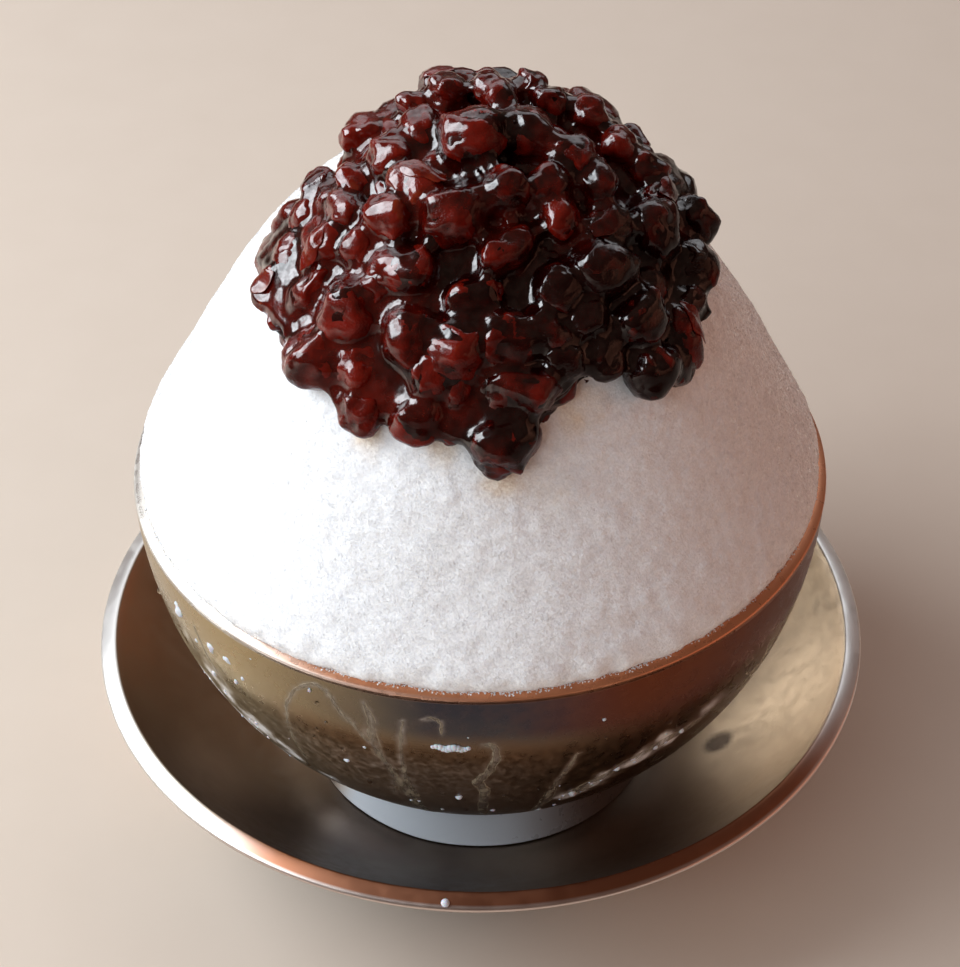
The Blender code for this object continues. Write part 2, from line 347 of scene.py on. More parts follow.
# %% Turning lines on metal
def build_turning_lines():
    """Rings left by the turning tool, and the smudges of a metal that is wiped by hand."""
    tree, given, result = make_group(
        "turning lines", "ShaderNodeTree",
        {"Place": (VECTOR, None), "Lines per metre": (VALUE, 1500.0)},
        {"Height": VALUE, "Smudge": VALUE})
    flat = vector_calc(tree, "MULTIPLY", given["Place"], (1.0, 1.0, 0.0))
    radius = vector_calc(tree, "LENGTH", flat, out="Value")
    height = add_node(tree, "ShaderNodeSeparateXYZ", {0: given["Place"]}).outputs["Z"]
    along = calc(tree, "MULTIPLY", calc(tree, "ADD", radius, height), given["Lines per metre"])
    fine = add_node(tree, "ShaderNodeTexNoise", {"W": along, "Scale": 1.0, "Detail": 2.0},
                    noise_dimensions="1D").outputs["Fac"]
    broad = add_node(tree, "ShaderNodeTexNoise", {"W": along, "Scale": 0.12, "Detail": 1.0},
                     noise_dimensions="1D").outputs["Fac"]
    fill(tree, result["Height"], calc(tree, "ADD", fine, broad))
    smudge = calc(tree, "MULTIPLY", noise_value(tree, given["Place"], 45.0, 4.0),
                  noise_value(tree, given["Place"], 400.0, 3.0))
    fill(tree, result["Smudge"], ramp(tree, smudge, 0.12, 0.42))
    return tree


TURNING_LINES = build_turning_lines()


# %% Crystal facets on ice
def build_crystal_facets():
    """Turns the surface a little in each crystal, so that some flash and some stay dull."""
    tree, given, result = make_group(
        "crystal facets", "ShaderNodeTree",
        {"Place": (VECTOR, None), "Crystals per metre": (VALUE, 1800.0), "Tilt": (VALUE, 1.0),
         "Lie": (VECTOR, None), "Follow": (VALUE, 0.5)},
        {"Normal": VECTOR, "Fleck": VALUE})
    cells = add_node(tree, "ShaderNodeTexVoronoi",
                     {"Vector": given["Place"], "Scale": given["Crystals per metre"]})
    lean = vector_calc(tree, "SUBTRACT", cells.outputs["Color"], (0.5, 0.5, 0.5))
    lean = add_node(tree, "ShaderNodeVectorMath", {0: lean, "Scale": given["Tilt"]},
                    operation="SCALE").outputs[0]
    surface = tree.nodes.new("ShaderNodeNewGeometry").outputs["Normal"]
    eased = add_node(tree, "ShaderNodeMix", {0: given["Follow"], 4: surface, 5: given["Lie"]},
                     data_type="VECTOR").outputs[1]
    fill(tree, result["Normal"], vector_calc(tree, "NORMALIZE", vector_calc(tree, "ADD", eased, lean)))
    fleck = add_node(tree, "ShaderNodeSeparateColor", {0: cells.outputs["Color"]}).outputs["Green"]
    fill(tree, result["Fleck"], fleck)
    return tree


CRYSTAL_FACETS = build_crystal_facets()


# %% Syrup over bean skin
def build_syrup_skin():
    """Goose bumps and creases in a bean's skin under syrup, and blotches where it is thin."""
    tree, given, result = make_group(
        "syrup skin", "ShaderNodeTree",
        {"Place": (VECTOR, None), "Bumps per metre": (VALUE, 1900.0), "Creases": (VALUE, 0.6)},
        {"Height": VALUE, "Blotch": VALUE, "Patch": VALUE})
    bumps = noise_value(tree, given["Place"], given["Bumps per metre"], 2.5)
    creases = noise_value(tree, given["Place"], 380.0, 3.0,
                          noise_type="RIDGED_MULTIFRACTAL", normalize=True)
    patch = ramp(tree, noise_value(tree, given["Place"], 190.0, 1.0), 0.34, 0.56)
    rough = calc(tree, "MULTIPLY", bumps, patch)
    fill(tree, result["Height"], calc(tree, "ADD", rough, calc(tree, "MULTIPLY", creases, given["Creases"])))
    fill(tree, result["Blotch"], ramp(tree, noise_value(tree, given["Place"], 380.0, 3.0), 0.35, 0.68))
    fill(tree, result["Patch"], patch)
    return tree


SYRUP_SKIN = build_syrup_skin()
print("shader groups:", TURNING_LINES.name, "|", CRYSTAL_FACETS.name, "|", SYRUP_SKIN.name)

# %% [markdown]
# ## Bronze
# The metal is a copper and tin alloy: pale gold where it is rubbed bright, with random tarnish. Round the
# bowl and saucer, olive, dark and red brown are painted where the metal would mirror a bright window, the
# dark saucer or a warm room: painted reflections and painted shade. The front of each rim is painted copper,
# a painted warm reflection. The bowl's wall is also misted by the cold, which dulls and whitens it, and its
# foot carries a painted blue white reflection of the window. Where each of these lies is stored on the mesh,
# so that it follows the shape: "rubbed", "copper", "dark", "red", "mist" and the foot's reflection. Noise
# alone could scatter tarnish, but it couldn't put these where they belong.

# %% Bronze finishes
def stored(tree, name):
    """A share that was stored on the mesh under this name."""
    return add_node(tree, "ShaderNodeAttribute", attribute_name=name).outputs["Fac"]


def make_bronze(name, bright, reflected_copper, olive, shade, ruddy, lines, roughness, misted):
    """Bronze with its polish, tarnish, painted reflections and painted shade and, on the bowl, the mist and
    the foot's painted reflection on top.
    """
    material, tree, shader, place = make_finish(name, Metallic=1.0)
    turned = use_group(tree, TURNING_LINES, {"Place": place, "Lines per metre": lines})
    patches = noise_value(tree, place, 38.0, 3.0)
    # Dark and red hold painted shade and painted reflections of the surroundings; the noise adds random
    # tarnish.
    dark = add_node(tree, "ShaderNodeClamp", {0: calc(
        tree, "MULTIPLY_ADD", calc(tree, "SUBTRACT", patches, 0.5), 0.5, stored(tree, "dark"))}).outputs[0]
    tint = mix_colour(tree, dark, olive, shade)
    tint = mix_colour(tree, stored(tree, "red"), tint, ruddy)
    # The copper share paints a warm reflection on the front of the rims.
    polish = mix_colour(tree, stored(tree, "copper"), bright, reflected_copper)
    rubbed = add_node(tree, "ShaderNodeClamp", {0: calc(
        tree, "MULTIPLY_ADD", turned["Smudge"], 0.05, stored(tree, "rubbed"))}).outputs[0]
    colour = mix_colour(tree, rubbed, tint, polish)
    dull = calc(tree, "MULTIPLY_ADD", turned["Smudge"], 0.12, roughness)
    if misted:
        grain = noise_value(tree, place, 800.0, 3.0)
        mist = ramp(tree, calc(tree, "MULTIPLY_ADD", grain, 0.3, stored(tree, "mist")), 0.25, 0.95)
        haze = mix_colour(tree, mist, (0.13, 0.085, 0.052), (0.78, 0.75, 0.72))
        colour = mix_colour(tree, mist, colour, haze)
        dull = calc(tree, "MULTIPLY_ADD", mist, 0.35, dull)
        # Painted reflection of the window on the foot: a blue white, less metallic veil.
        foot_reflection = stored(tree, "foot_reflection")
        colour = mix_colour(tree, foot_reflection, colour, (0.84, 0.92, 1.0))
        veil = calc(tree, "MAXIMUM", mist, foot_reflection)
        # Where the lip is painted copper it is less metallic.
        copper_lip = calc(tree, "MULTIPLY", stored(tree, "rubbed"), stored(tree, "copper"))
        metal = calc(tree, "MULTIPLY_ADD", veil, -0.95, calc(tree, "MULTIPLY_ADD", copper_lip, -0.4, 1.0))
        fill(tree, shader["Metallic"], metal)
    fill(tree, shader["Base Color"], colour)
    fill(tree, shader["Roughness"], dull)
    add_relief(tree, shader, 0.18, 0.04 * MM, turned["Height"])
    return material


# The copper colours are painted warm reflections; olive, shade and ruddy colour painted reflections and
# painted shade as well as tarnish.
BOWL_BRONZE = make_bronze(
    "bowl_bronze", bright=(0.88, 0.84, 0.77), reflected_copper=(0.66, 0.28, 0.14), olive=(0.43, 0.33, 0.17),
    shade=(0.046, 0.047, 0.062), ruddy=(0.15, 0.033, 0.008), lines=1500.0, roughness=0.24, misted=True)
SAUCER_BRONZE = make_bronze(
    "saucer_bronze", bright=(0.90, 0.89, 0.86), reflected_copper=(0.42, 0.185, 0.105), olive=(0.74, 0.63, 0.50),
    shade=(0.115, 0.086, 0.072), ruddy=(0.98, 0.70, 0.50), lines=900.0, roughness=0.34, misted=False)
print("bronze nodes: bowl", len(BOWL_BRONZE.node_tree.nodes), "saucer", len(SAUCER_BRONZE.node_tree.nodes))

# %% [markdown]
# ## Ice, syrup and water
# Shaved ice is bright because light wanders through thousands of crystals. So the packed ice
# scatters light below its surface. Each loose crystal is shaded mostly by the way the mound
# lies under it, stored as "lie": by its own facets alone, the coat would look like gravel.
# Where bean juice has soaked in, the ice turns tea brown: the mesh says where, in "soaked".

# %% Ice finish
def make_ice(name, crystals, tilt, follow, roughness, depth, relief):
    """Ice that is white or soaked tea brown, with crystal facets that flash."""
    material, tree, shader, place = make_finish(
        name, Subsurface_Weight=depth, Subsurface_Radius=(1.0, 1.05, 1.15), Subsurface_Scale=2.5 * MM)
    lie = add_node(tree, "ShaderNodeAttribute", attribute_name="lie").outputs["Vector"]
    facets = use_group(tree, CRYSTAL_FACETS, {
        "Place": place, "Crystals per metre": crystals, "Tilt": tilt, "Lie": lie, "Follow": follow})
    fine = noise_value(tree, place, 2600.0, 3.0)
    pale = ramp(tree, calc(tree, "MULTIPLY_ADD", facets["Fleck"], 0.35, fine), 0.35, 0.95)
    clean = mix_colour(tree, pale, (0.82, 0.84, 0.86), (0.93, 0.94, 0.95))
    seep = ramp(tree, calc(tree, "MULTIPLY_ADD", noise_value(tree, place, 260.0, 4.0), 0.7,
                           stored(tree, "soaked")), 0.5, 1.35)
    tea = mix_colour(tree, pale, (0.66, 0.47, 0.29), (0.88, 0.73, 0.54))
    fill(tree, shader["Base Color"], mix_colour(tree, seep, clean, tea))
    fill(tree, shader["Roughness"], ramp(tree, facets["Fleck"], 0.75, 0.95, 0.55, roughness))
    add_relief(tree, shader, 1.0, relief, fine, Normal=facets["Normal"])
    return material


PACKED_ICE = make_ice("packed_ice", crystals=2200.0, tilt=0.25, follow=0.0, roughness=0.06,
                      depth=0.35, relief=0.10 * MM)
LOOSE_ICE = make_ice("loose_ice", crystals=1600.0, tilt=0.30, follow=0.7, roughness=0.05,
                     depth=0.0, relief=0.0)

# %% [markdown]
# Syrup is dark and wet. Its shine is a clear coat over a duller body, thicker in some places
# than in others. "wet" on the mesh says how much of it there is, so that undersides don't
# mirror the white ice. A single glossy surface would be simpler, but it would shine the same
# all over. A little light gets through and glows red at thin edges.

# %% Syrup finishes
def make_syrup(name, dark, red, thin, bumps, creases, bump_height, gloss):
    """Syrup over skin or paste: near black, red or brown by the stored tone."""
    material, tree, shader, place = make_finish(
        name, IOR=1.45, Specular_IOR_Level=0.20, Coat_IOR=1.75, Coat_Roughness=0.12,
        Subsurface_Weight=0.15, Subsurface_Radius=(1.0, 0.14, 0.06), Subsurface_Scale=1.8 * MM)
    skin = use_group(tree, SYRUP_SKIN, {"Place": place, "Bumps per metre": bumps, "Creases": creases})
    tone = stored(tree, "tone")
    body = mix_colour(tree, ramp(tree, tone, 0.05, 0.6), dark, red)
    brown = mix_colour(tree, ramp(tree, tone, 0.65, 1.0), body, thin)
    deep = mix_colour(tree, 0.35, brown, dark)
    fill(tree, shader["Base Color"], mix_colour(tree, skin["Blotch"], deep, brown))
    fill(tree, shader["Roughness"], ramp(tree, skin["Patch"], 0.0, 1.0, gloss, gloss + 0.08))
    film = ramp(tree, noise_value(tree, place, 900.0, 3.0), 0.38, 0.62, 0.55, 1.0)
    fill(tree, shader["Coat Weight"], calc(tree, "MULTIPLY", film, stored(tree, "wet")))
    add_relief(tree, shader, 1.0, bump_height, skin["Height"])
    return material


BEAN_FINISH = make_syrup(
    "sweet_bean", dark=(0.008, 0.0004, 0.0003), red=(0.140, 0.0055, 0.0020), thin=(0.20, 0.030, 0.008),
    bumps=2500.0, creases=0.30, bump_height=0.15 * MM, gloss=0.04)
PASTE_FINISH = make_syrup(
    "bean_paste", dark=(0.006, 0.0004, 0.0003), red=(0.100, 0.0050, 0.0022), thin=(0.18, 0.040, 0.016),
    bumps=1900.0, creases=0.5, bump_height=0.07 * MM, gloss=0.05)

# %% [markdown]
# Melt water is clear. Where it has dried on the wall it leaves a thin tan haze, paler and
# thicker along its edges, and where it froze again it turned milky. One material with masks
# could show all of these, but each is a piece of its own here, so each has its own finish.

# %% Water finish and drip edges
MELT_WATER = make_finish("melt_water", Base_Color=(0.95, 0.97, 1.0, 1.0), Roughness=0.02, IOR=1.33,
                         Transmission_Weight=1.0)[0]


def make_drip_edge():
    """The pale edge that a drying drip leaves: mineral haze, uneven along its length."""
    material, tree, shader, place = make_finish("drip_edge", Specular_IOR_Level=0.6)
    grain = noise_value(tree, place, 500.0, 3.0)
    fill(tree, shader["Base Color"], mix_colour(tree, grain, (0.14, 0.105, 0.06), (0.36, 0.30, 0.21)))
    fill(tree, shader["Roughness"], ramp(tree, grain, 0.2, 0.8, 0.15, 0.5))
    return material


def make_drip_film():
    """The haze of a drip: a thin tan veil that lets the bronze through in streaks."""
    material, tree, shader, place = make_finish("drip_film", Specular_IOR_Level=0.5)
    streak = noise_value(tree, vector_calc(tree, "MULTIPLY", place, (1.0, 1.0, 0.25)), 700.0, 3.0)
    fill(tree, shader["Base Color"], mix_colour(tree, streak, (0.13, 0.095, 0.055), (0.44, 0.37, 0.27)))
    fill(tree, shader["Metallic"], ramp(tree, streak, 0.65, 0.35, 0.0, 0.8))
    fill(tree, shader["Alpha"], ramp(tree, streak, 0.35, 0.7, 0.15, 0.75))
    fill(tree, shader["Roughness"], ramp(tree, streak, 0.2, 0.8, 0.2, 0.5))
    return material


def make_frost():
    """Drops that have begun to freeze: milky, blue white, with a wet gloss."""
    material, tree, shader, place = make_finish("frozen_drop", Roughness=0.45, Subsurface_Weight=0.3,
                                                Subsurface_Scale=0.8 * MM)
    grain = noise_value(tree, place, 900.0, 2.0)
    fill(tree, shader["Base Color"], mix_colour(tree, grain, (0.42, 0.45, 0.50), (0.78, 0.82, 0.88)))
    return material


DRIP_EDGE = make_drip_edge()
DRIP_FILM = make_drip_film()
FROZEN_DROP = make_frost()
print("finishes:", ", ".join(sorted(m.name for m in bpy.data.materials)))

# %% [markdown]
# ## Saucer
# A deep saucer: a flat floor that sweeps up to a thick rim. Its profile is one power curve for the inside,
# an outside that lies a wall's thickness away, and a rim whose top is a flat band that leans outwards, with
# its two edges eased. A list of points would do as well, but a formula keeps the wall even and is easy to
# change. Its inside is painted darkest at the front and at the right, painted shade over tarnish, and warm
# red brown at the left, a painted reflection; the rim's front is painted copper, a painted warm reflection.

# %% Saucer's profile
SAUCER_FLOOR = 3.0 * MM
SAUCER_FLAT_RADIUS = 37.0 * MM
SAUCER_WALL = 2.0 * MM
SAUCER_RIM_WIDTH = 3.4 * MM
SAUCER_SWEEP = 1.7


def saucer_inside(out):
    """A point of the inside and its slope, from the flat floor (out = 0) to the rim (out = 1)."""
    run = SAUCER_RADIUS - SAUCER_RIM_WIDTH - SAUCER_FLAT_RADIUS
    depth = SAUCER_HEIGHT - 0.8 * MM - SAUCER_FLOOR
    slope = math.atan2(depth * SAUCER_SWEEP * out**(SAUCER_SWEEP - 1.0), run)
    return SAUCER_FLAT_RADIUS + run * out, SAUCER_FLOOR + depth * out**SAUCER_SWEEP, slope


def saucer_outside(out):
    """The point that lies a wall's thickness outside saucer_inside(out)."""
    radius, height, slope = saucer_inside(out)
    wall = SAUCER_WALL + (SAUCER_RIM_WIDTH - SAUCER_WALL) * out**6
    base = (SAUCER_FLOOR - SAUCER_WALL) * (1.0 - out)**3
    return radius + wall * math.sin(slope), height - wall * math.cos(slope) - base


def banded_rim(outer_radius, width, top, lean, ease):
    """The rim from the outside to the inside: a flat band that drops by lean towards the outside."""
    corner = [(outer_radius - ease * inwards, top - lean - ease * down)
              for inwards, down in ((0.0, 1.6), (0.1, 0.8), (0.4, 0.3), (1.0, 0.0))]
    inner = outer_radius - width
    band = [(inner + ease + (width - 2 * ease) * share, top - lean * share**1.3)
            for share in (0.85, 0.7, 0.55, 0.4, 0.25, 0.1)]
    edge = [(inner + ease * outwards, top - ease * down)
            for outwards, down in ((1.0, 0.0), (0.35, 0.25), (0.05, 0.9))]
    return [*corner, *band, *edge]


# %% The saucer's whole outline
def saucer_profile(steps=44):
    """The whole outline, from the middle of the underside round to the middle of the floor."""
    shares = [step / steps for step in range(steps)]
    return [(0.0, 0.0), (20 * MM, 0.0), (34 * MM, 0.0), *(saucer_outside(out) for out in shares),
            *banded_rim(SAUCER_RADIUS, SAUCER_RIM_WIDTH, SAUCER_HEIGHT, 1.1 * MM, 0.45 * MM),
            *(saucer_inside(out)[:2] for out in reversed(shares)),
            (28 * MM, SAUCER_FLOOR), (15 * MM, SAUCER_FLOOR), (0.0, SAUCER_FLOOR)]


# %% Helpers for turned metal
def hammer(piece, depth, size, seed):
    """Uneven a turned wall very slightly, as hand forging leaves it."""
    points, normals = points_of(piece.data), normals_of(piece.data)
    set_points(piece.data, points + normals * (depth * lumps(points, size, seed))[:, None])


def degrees_from_front(points):
    """The angle round the axis: 0 at the front (-Y), growing towards +X."""
    return np.degrees(np.arctan2(points[:, 0], -points[:, 1]))


def bump_at(value, middle, reach):
    """1 at the middle, easing to 0 a few times the reach away."""
    return np.exp(-((value - middle) / reach)**2)


def ease(value, low, high):
    """0 below low, 1 above high and a smooth step between."""
    share = np.clip((value - low) / (high - low), 0.0, 1.0)
    return share * share * (3 - 2 * share)


# %% Turn the saucer and store its tarnish
saucer = turn("saucer_turned", saucer_profile(), 288, SAUCER_BRONZE)
hammer(saucer, 0.10 * MM, 14 * MM, 3)
points = points_of(saucer.data)
azimuth = degrees_from_front(points)
radii = np.hypot(points[:, 0], points[:, 1])
inner_edge = SAUCER_RADIUS - SAUCER_RIM_WIDTH
on_rim = ease(radii, inner_edge - 0.1 * MM, inner_edge + 0.3 * MM)
on_rim *= ease(points[:, 2], SAUCER_HEIGHT - 2.6 * MM, SAUCER_HEIGHT - 2.0 * MM)
outer_edge = ease(radii, SAUCER_RADIUS - 0.7 * MM, SAUCER_RADIUS - 0.4 * MM)

# One round dark spot lies on the floor at the right, this far round and out.
DARK_SPOT_AZIMUTH = 76
DARK_SPOT_RADIUS = 49.5
MM_PER_DEGREE = math.radians(1) * DARK_SPOT_RADIUS
from_dark_spot = np.hypot((azimuth - DARK_SPOT_AZIMUTH) * MM_PER_DEGREE, radii / MM - DARK_SPOT_RADIUS)
dark_spot = ease(-from_dark_spot, -3.6, -1.2) * (normals_of(saucer.data)[:, 2] > 0)
# Painted shade over tarnish: the inside is darkened at the front, and at the right where the window is
# mirrored.
front_shade = 1.15 * bump_at(azimuth, -30, 48)
right_shade = 0.24 * bump_at(azimuth, 80, 40) + 0.28 * bump_at(azimuth, 92, 9)
# Painted warm reflection: the rim's front turns copper, less so on its outer edge.
front_copper_reflection = ease(azimuth, -52, -28) * ease(-azimuth, -75, -50)
set_share(saucer.data, "rubbed", on_rim)
set_share(saucer.data, "copper", front_copper_reflection * (1 - 0.6 * outer_edge))
set_share(saucer.data, "dark", np.clip(np.maximum(front_shade, right_shade) + 0.05 + dark_spot, 0, 1))
# Painted reflection: warm red brown at the left.
set_share(saucer.data, "red", 0.78 * bump_at(azimuth, -98, 25))
settle(saucer, "saucer_bronze", "saucer")

# %% [markdown]
# ## Bowl
# The bowl's outside is a half ellipse on a flared foot ring, with a narrow lip. Points could
# be measured along the wall instead, but an ellipse gives the radius at every height, so
# drips and drops can be laid on it by number. The wall is misted with condensation below a
# clean band at the lip; drips have run down and left pale edges. A drip is listed as its first
# width, its last width and its path of (degrees from the front, height), in millimetres, and a
# patch of mist as (degrees, height, reach, strength).

# %% Bowl's profile
BOWL_DEPTH = 71.5 * MM
BOWL_WALL = 1.8 * MM
BOWL_RIM_WIDTH = 2.2 * MM
FOOT_TOP_RADIUS = 33.4 * MM
FOOT_RADIUS = 35.0 * MM
FOOT_WALL = 2.2 * MM
FOOT_NECK = 7.0 * MM


def wall_radius(height, wall=0.0):
    """The bowl's radius at a height, on the outside or one wall inside it."""
    share = min(1.0, max(0.0, (RIM_Z - height) / (BOWL_DEPTH - wall)))
    return (BOWL_RADIUS - wall) * math.sqrt(1.0 - share * share)


def ellipse_wall(wall, end_height, steps):
    """Points down the ellipse from just under the rim to a height, evenly spaced along it."""
    end = math.asin((RIM_Z - end_height) / (BOWL_DEPTH - wall))
    angles = [end * (step + 0.15) / steps for step in range(1, steps)] + [end]
    return [((BOWL_RADIUS - wall) * math.cos(angle), RIM_Z - (BOWL_DEPTH - wall) * math.sin(angle))
            for angle in angles]


# %% The bowl's whole outline
def bowl_profile():
    """The whole outline, from under the floor round the foot, the wall and the lip to the floor."""
    floor_z = BOWL_FOOT_Z + 12.4 * MM
    under_z = floor_z - BOWL_WALL
    waist_z = RIM_Z - BOWL_DEPTH * math.sqrt(1.0 - (FOOT_TOP_RADIUS / BOWL_RADIUS)**2)
    foot = smooth_curve([(FOOT_RADIUS, BOWL_FOOT_Z), (34.2 * MM, BOWL_FOOT_Z + 2.4 * MM),
                         (33.2 * MM, BOWL_FOOT_Z + FOOT_NECK), (FOOT_TOP_RADIUS, waist_z)], 7)
    ring_inside = FOOT_RADIUS - FOOT_WALL
    ring = [(ring_inside - 1.8 * MM, under_z), (ring_inside, BOWL_FOOT_Z + 0.4 * MM),
            (ring_inside + 0.4 * MM, BOWL_FOOT_Z), (FOOT_RADIUS - 0.4 * MM, BOWL_FOOT_Z)]
    outside = ellipse_wall(0.0, waist_z, 84)
    inside = ellipse_wall(BOWL_WALL, floor_z, 16)
    return [(0.0, under_z), *ring, *foot[:-1], *reversed(outside),
            *banded_rim(BOWL_RADIUS, BOWL_RIM_WIDTH, RIM_Z, 0.6 * MM, 0.35 * MM), *inside, (0.0, floor_z)]


bowl = turn("bowl_turned", bowl_profile(), 360, BOWL_BRONZE)
hammer(bowl, 0.10 * MM, 16 * MM, 8)

# %% Drip paths on the wall
DRIPS = {
    "arch": (0.5, 1.0, ((-33, 44), (-33, 57), (-31, 66), (-27, 71.5), (-24, 71), (-22, 66.5),
                        (-20, 64), (-18, 60), (-16, 56), (-15, 49), (-16, 40))),
    "second": (0.7, 4.2, ((-18, 71), (-17, 66.5), (-17, 60), (-15, 51), (-13, 42), (-12, 30), (-11, 18))),
    "curtain": (0.6, 2.4, ((-12, 68), (-12.5, 62), (-12.8, 54), (-12.5, 46), (-12, 36), (-11, 26))),
    "curl": (0.4, 0.5, ((-8.8, 69), (-7.4, 69.6), (-6.2, 68.6), (-6, 65.5))),
    "zigzag": (0.9, 2.6, ((0.5, 62.7), (2, 62), (2.2, 58), (1, 53.5), (-0.6, 50), (0.6, 45),
                          (0.2, 36), (1, 24))),
    "short": (0.8, 2.4, ((15.5, 57), (14.2, 52), (12.8, 46), (12.2, 38), (11, 28))),
    "low_right": (3.4, 1.6, ((17.5, 39.5), (21, 43.5), (26, 47.5), (32, 50), (39, 50.7), (50, 54))),
    "left_thin": (0.5, 0.8, ((-52, 68), (-50, 62), (-47, 56))),
    "far_right": (0.6, 1.2, ((62, 66), (60, 56), (61, 44), (58, 33))),
    "back_left": (0.6, 1.6, ((-120, 68), (-118, 55), (-121, 44), (-119, 30))),
    "back_arch": (0.5, 1.4, ((150, 50), (152, 64), (158, 70), (164, 66), (166, 52), (163, 38))),
    "back_long": (0.6, 2.2, ((-165, 70), (-167, 56), (-163, 42), (-166, 26))),
    "right_back": (0.6, 1.6, ((112, 69), (110, 58), (113, 47), (111, 36))),
}
print(len(DRIPS), "drips:", ", ".join(DRIPS))


def path_on_wall(path, steps=8, waver=0.35, seed=1):
    """A smooth wavering path over the wall as (angle in radians, height in metres) points."""
    curve = smooth_curve([(math.radians(angle), height * MM) for angle, height in path], steps)
    wavering = []
    for step, (angle, height) in enumerate(curve):
        spot = Vector((step * 0.35, seed * 9.1, 0.0))
        wavering.append((angle + waver * MM / BOWL_RADIUS * noise.noise(spot),
                         height + waver * MM * noise.noise(spot + Vector((0, 0, 5)))))
    return wavering


def on_wall(angle, height, lift=0.0):
    """The point of the wall at an angle from the front and a height, raised off the metal."""
    radius = wall_radius(height)
    slope = math.atan2(BOWL_RADIUS**2 * (height - RIM_Z), BOWL_DEPTH**2 * max(radius, MM))
    radius, height = radius + lift * math.cos(slope), height + lift * math.sin(slope)
    return Vector((radius * math.sin(angle), -radius * math.cos(angle), height))


# %% Mist on the wall
LEFT_MIST = ((-50, 54, 6, 0.8), (-43, 47, 6, 1.0), (-37, 42, 5.5, 1.0), (-30, 36, 4, 0.8),
             (-57, 60, 3.5, 0.6), (-57, 47, 6, 0.9), (-49, 41, 6, 1.0), (-41, 35, 5, 0.9))
FRONT_MIST = ((-15, 34, 5, 0.45), (-17, 22, 5, 0.5), (-13, 42, 3, 0.5), (0, 38, 2.5, 0.4),
              (12, 29, 2.5, 0.7), (-27, 52, 5, 0.25), (-16, 52, 1.8, 0.45), (-15, 46, 2.2, 0.5),
              (-17, 30, 3.5, 0.5), (-14, 62, 1.5, 0.3), (-9, 58, 2.5, 0.3), (-8, 50, 2.2, 0.25))
RIGHT_MIST = ((17, 39, 4.5, 0.95), (22, 43, 4, 1.0), (28, 48, 4, 1.0), (34, 50, 4, 0.95), (42, 52, 4, 0.7))
BACK_MIST = ((-100, 45, 8, 0.6), (-140, 40, 10, 0.6), (170, 45, 9, 0.6), (130, 42, 9, 0.6), (85, 48, 7, 0.5))


def mist_at(points):
    """How misted the wall is: patches low down, and a little along the drips."""
    angle = np.arctan2(points[:, 0], -points[:, 1])
    height = points[:, 2]
    mist = 0.34 * ease(RIM_Z - height, 9 * MM, 22 * MM) * (1 - 0.75 * ease(np.degrees(angle), -5, 35))
    stir_round = 4.0 * MM * lumps(points, 5 * MM, 71)
    stir_up = 4.0 * MM * lumps(points, 5 * MM, 72)
    torn = 0.85 + 0.40 * lumps(points, 2.5 * MM, 73)
    for spot_angle, spot_height, reach, strength in (*LEFT_MIST, *FRONT_MIST, *RIGHT_MIST, *BACK_MIST):
        sideways = (angle - math.radians(spot_angle) + math.pi) % (2 * math.pi) - math.pi
        away = np.hypot(sideways * BOWL_RADIUS + stir_round, height - spot_height * MM + stir_up)
        mist = np.maximum(mist, strength * torn * np.exp(-(away / (reach * MM))**2))
    for first_width, last_width, path in DRIPS.values():
        curve = path_on_wall(path)
        for step, (spot_angle, spot_height) in enumerate(curve):
            reach = (0.7 + 0.7 * (first_width + (last_width - first_width) * step / len(curve))) * MM
            away = np.hypot((angle - spot_angle) * BOWL_RADIUS, height - spot_height)
            mist = np.maximum(mist, 0.45 * np.exp(-(away / reach)**2))
    return mist


# %% Store the bowl's mist and tarnish
# Parts of the bowl, by height and distance from the axis.
points = points_of(bowl.data)
azimuth = degrees_from_front(points)
radii = np.hypot(points[:, 0], points[:, 1])
outside = radii > np.array([wall_radius(z) for z in points[:, 2]]) - 0.5 * MM
on_lip = ease(points[:, 2], RIM_Z - 1.4 * MM, RIM_Z - 1.0 * MM)
lip_edge = ease(radii, BOWL_RADIUS - 0.5 * MM, BOWL_RADIUS - 0.25 * MM)
# Painted highlight: a pale line along the lip's outer edge, at the left and the front.
painted_lip_highlight = lip_edge * ease(-azimuth, -10, 30)
upper = ease(points[:, 2], RIM_Z - 17 * MM, RIM_Z - 9 * MM)
foot = ease(-points[:, 2], -(BOWL_FOOT_Z + 8.5 * MM), -(BOWL_FOOT_Z + 7 * MM))
foot_end = ease(-azimuth, 46, 62) * ease(azimuth, -150, -110)

# The wall is painted olive at the left, dark at the front, most of all high up, and red brown at the right
# and low at the front: painted reflections of a bright window, the dark saucer and a warm room, and painted
# shade. Behind, dark and red lie in broad random patches, and the foot's left end is dark too.
is_back = ease(np.abs(azimuth), 80, 120)
behind = 0.5 + 0.5 * lumps(points, 25 * MM, 17)
dark = ease(azimuth, -45, -5) * (0.4 + 0.6 * upper)
dark = np.maximum(dark * (1 - is_back) + 0.7 * behind * is_back, foot * foot_end)
red_right = ease(azimuth, 2, 28) * (0.65 + 0.35 * upper)
red_low = 0.5 * (1 - upper) * ease(azimuth, -60, -15)
red = np.maximum(red_right, red_low) * (1 - is_back) + 0.5 * (1 - behind) * is_back
# Painted reflection of the window on the foot: blue white at the left, fading towards the right.
foot_reflection_side = (1 - 0.8 * ease(azimuth, 5, 45)) * ease(-np.abs(azimuth + 20), -130, -90)
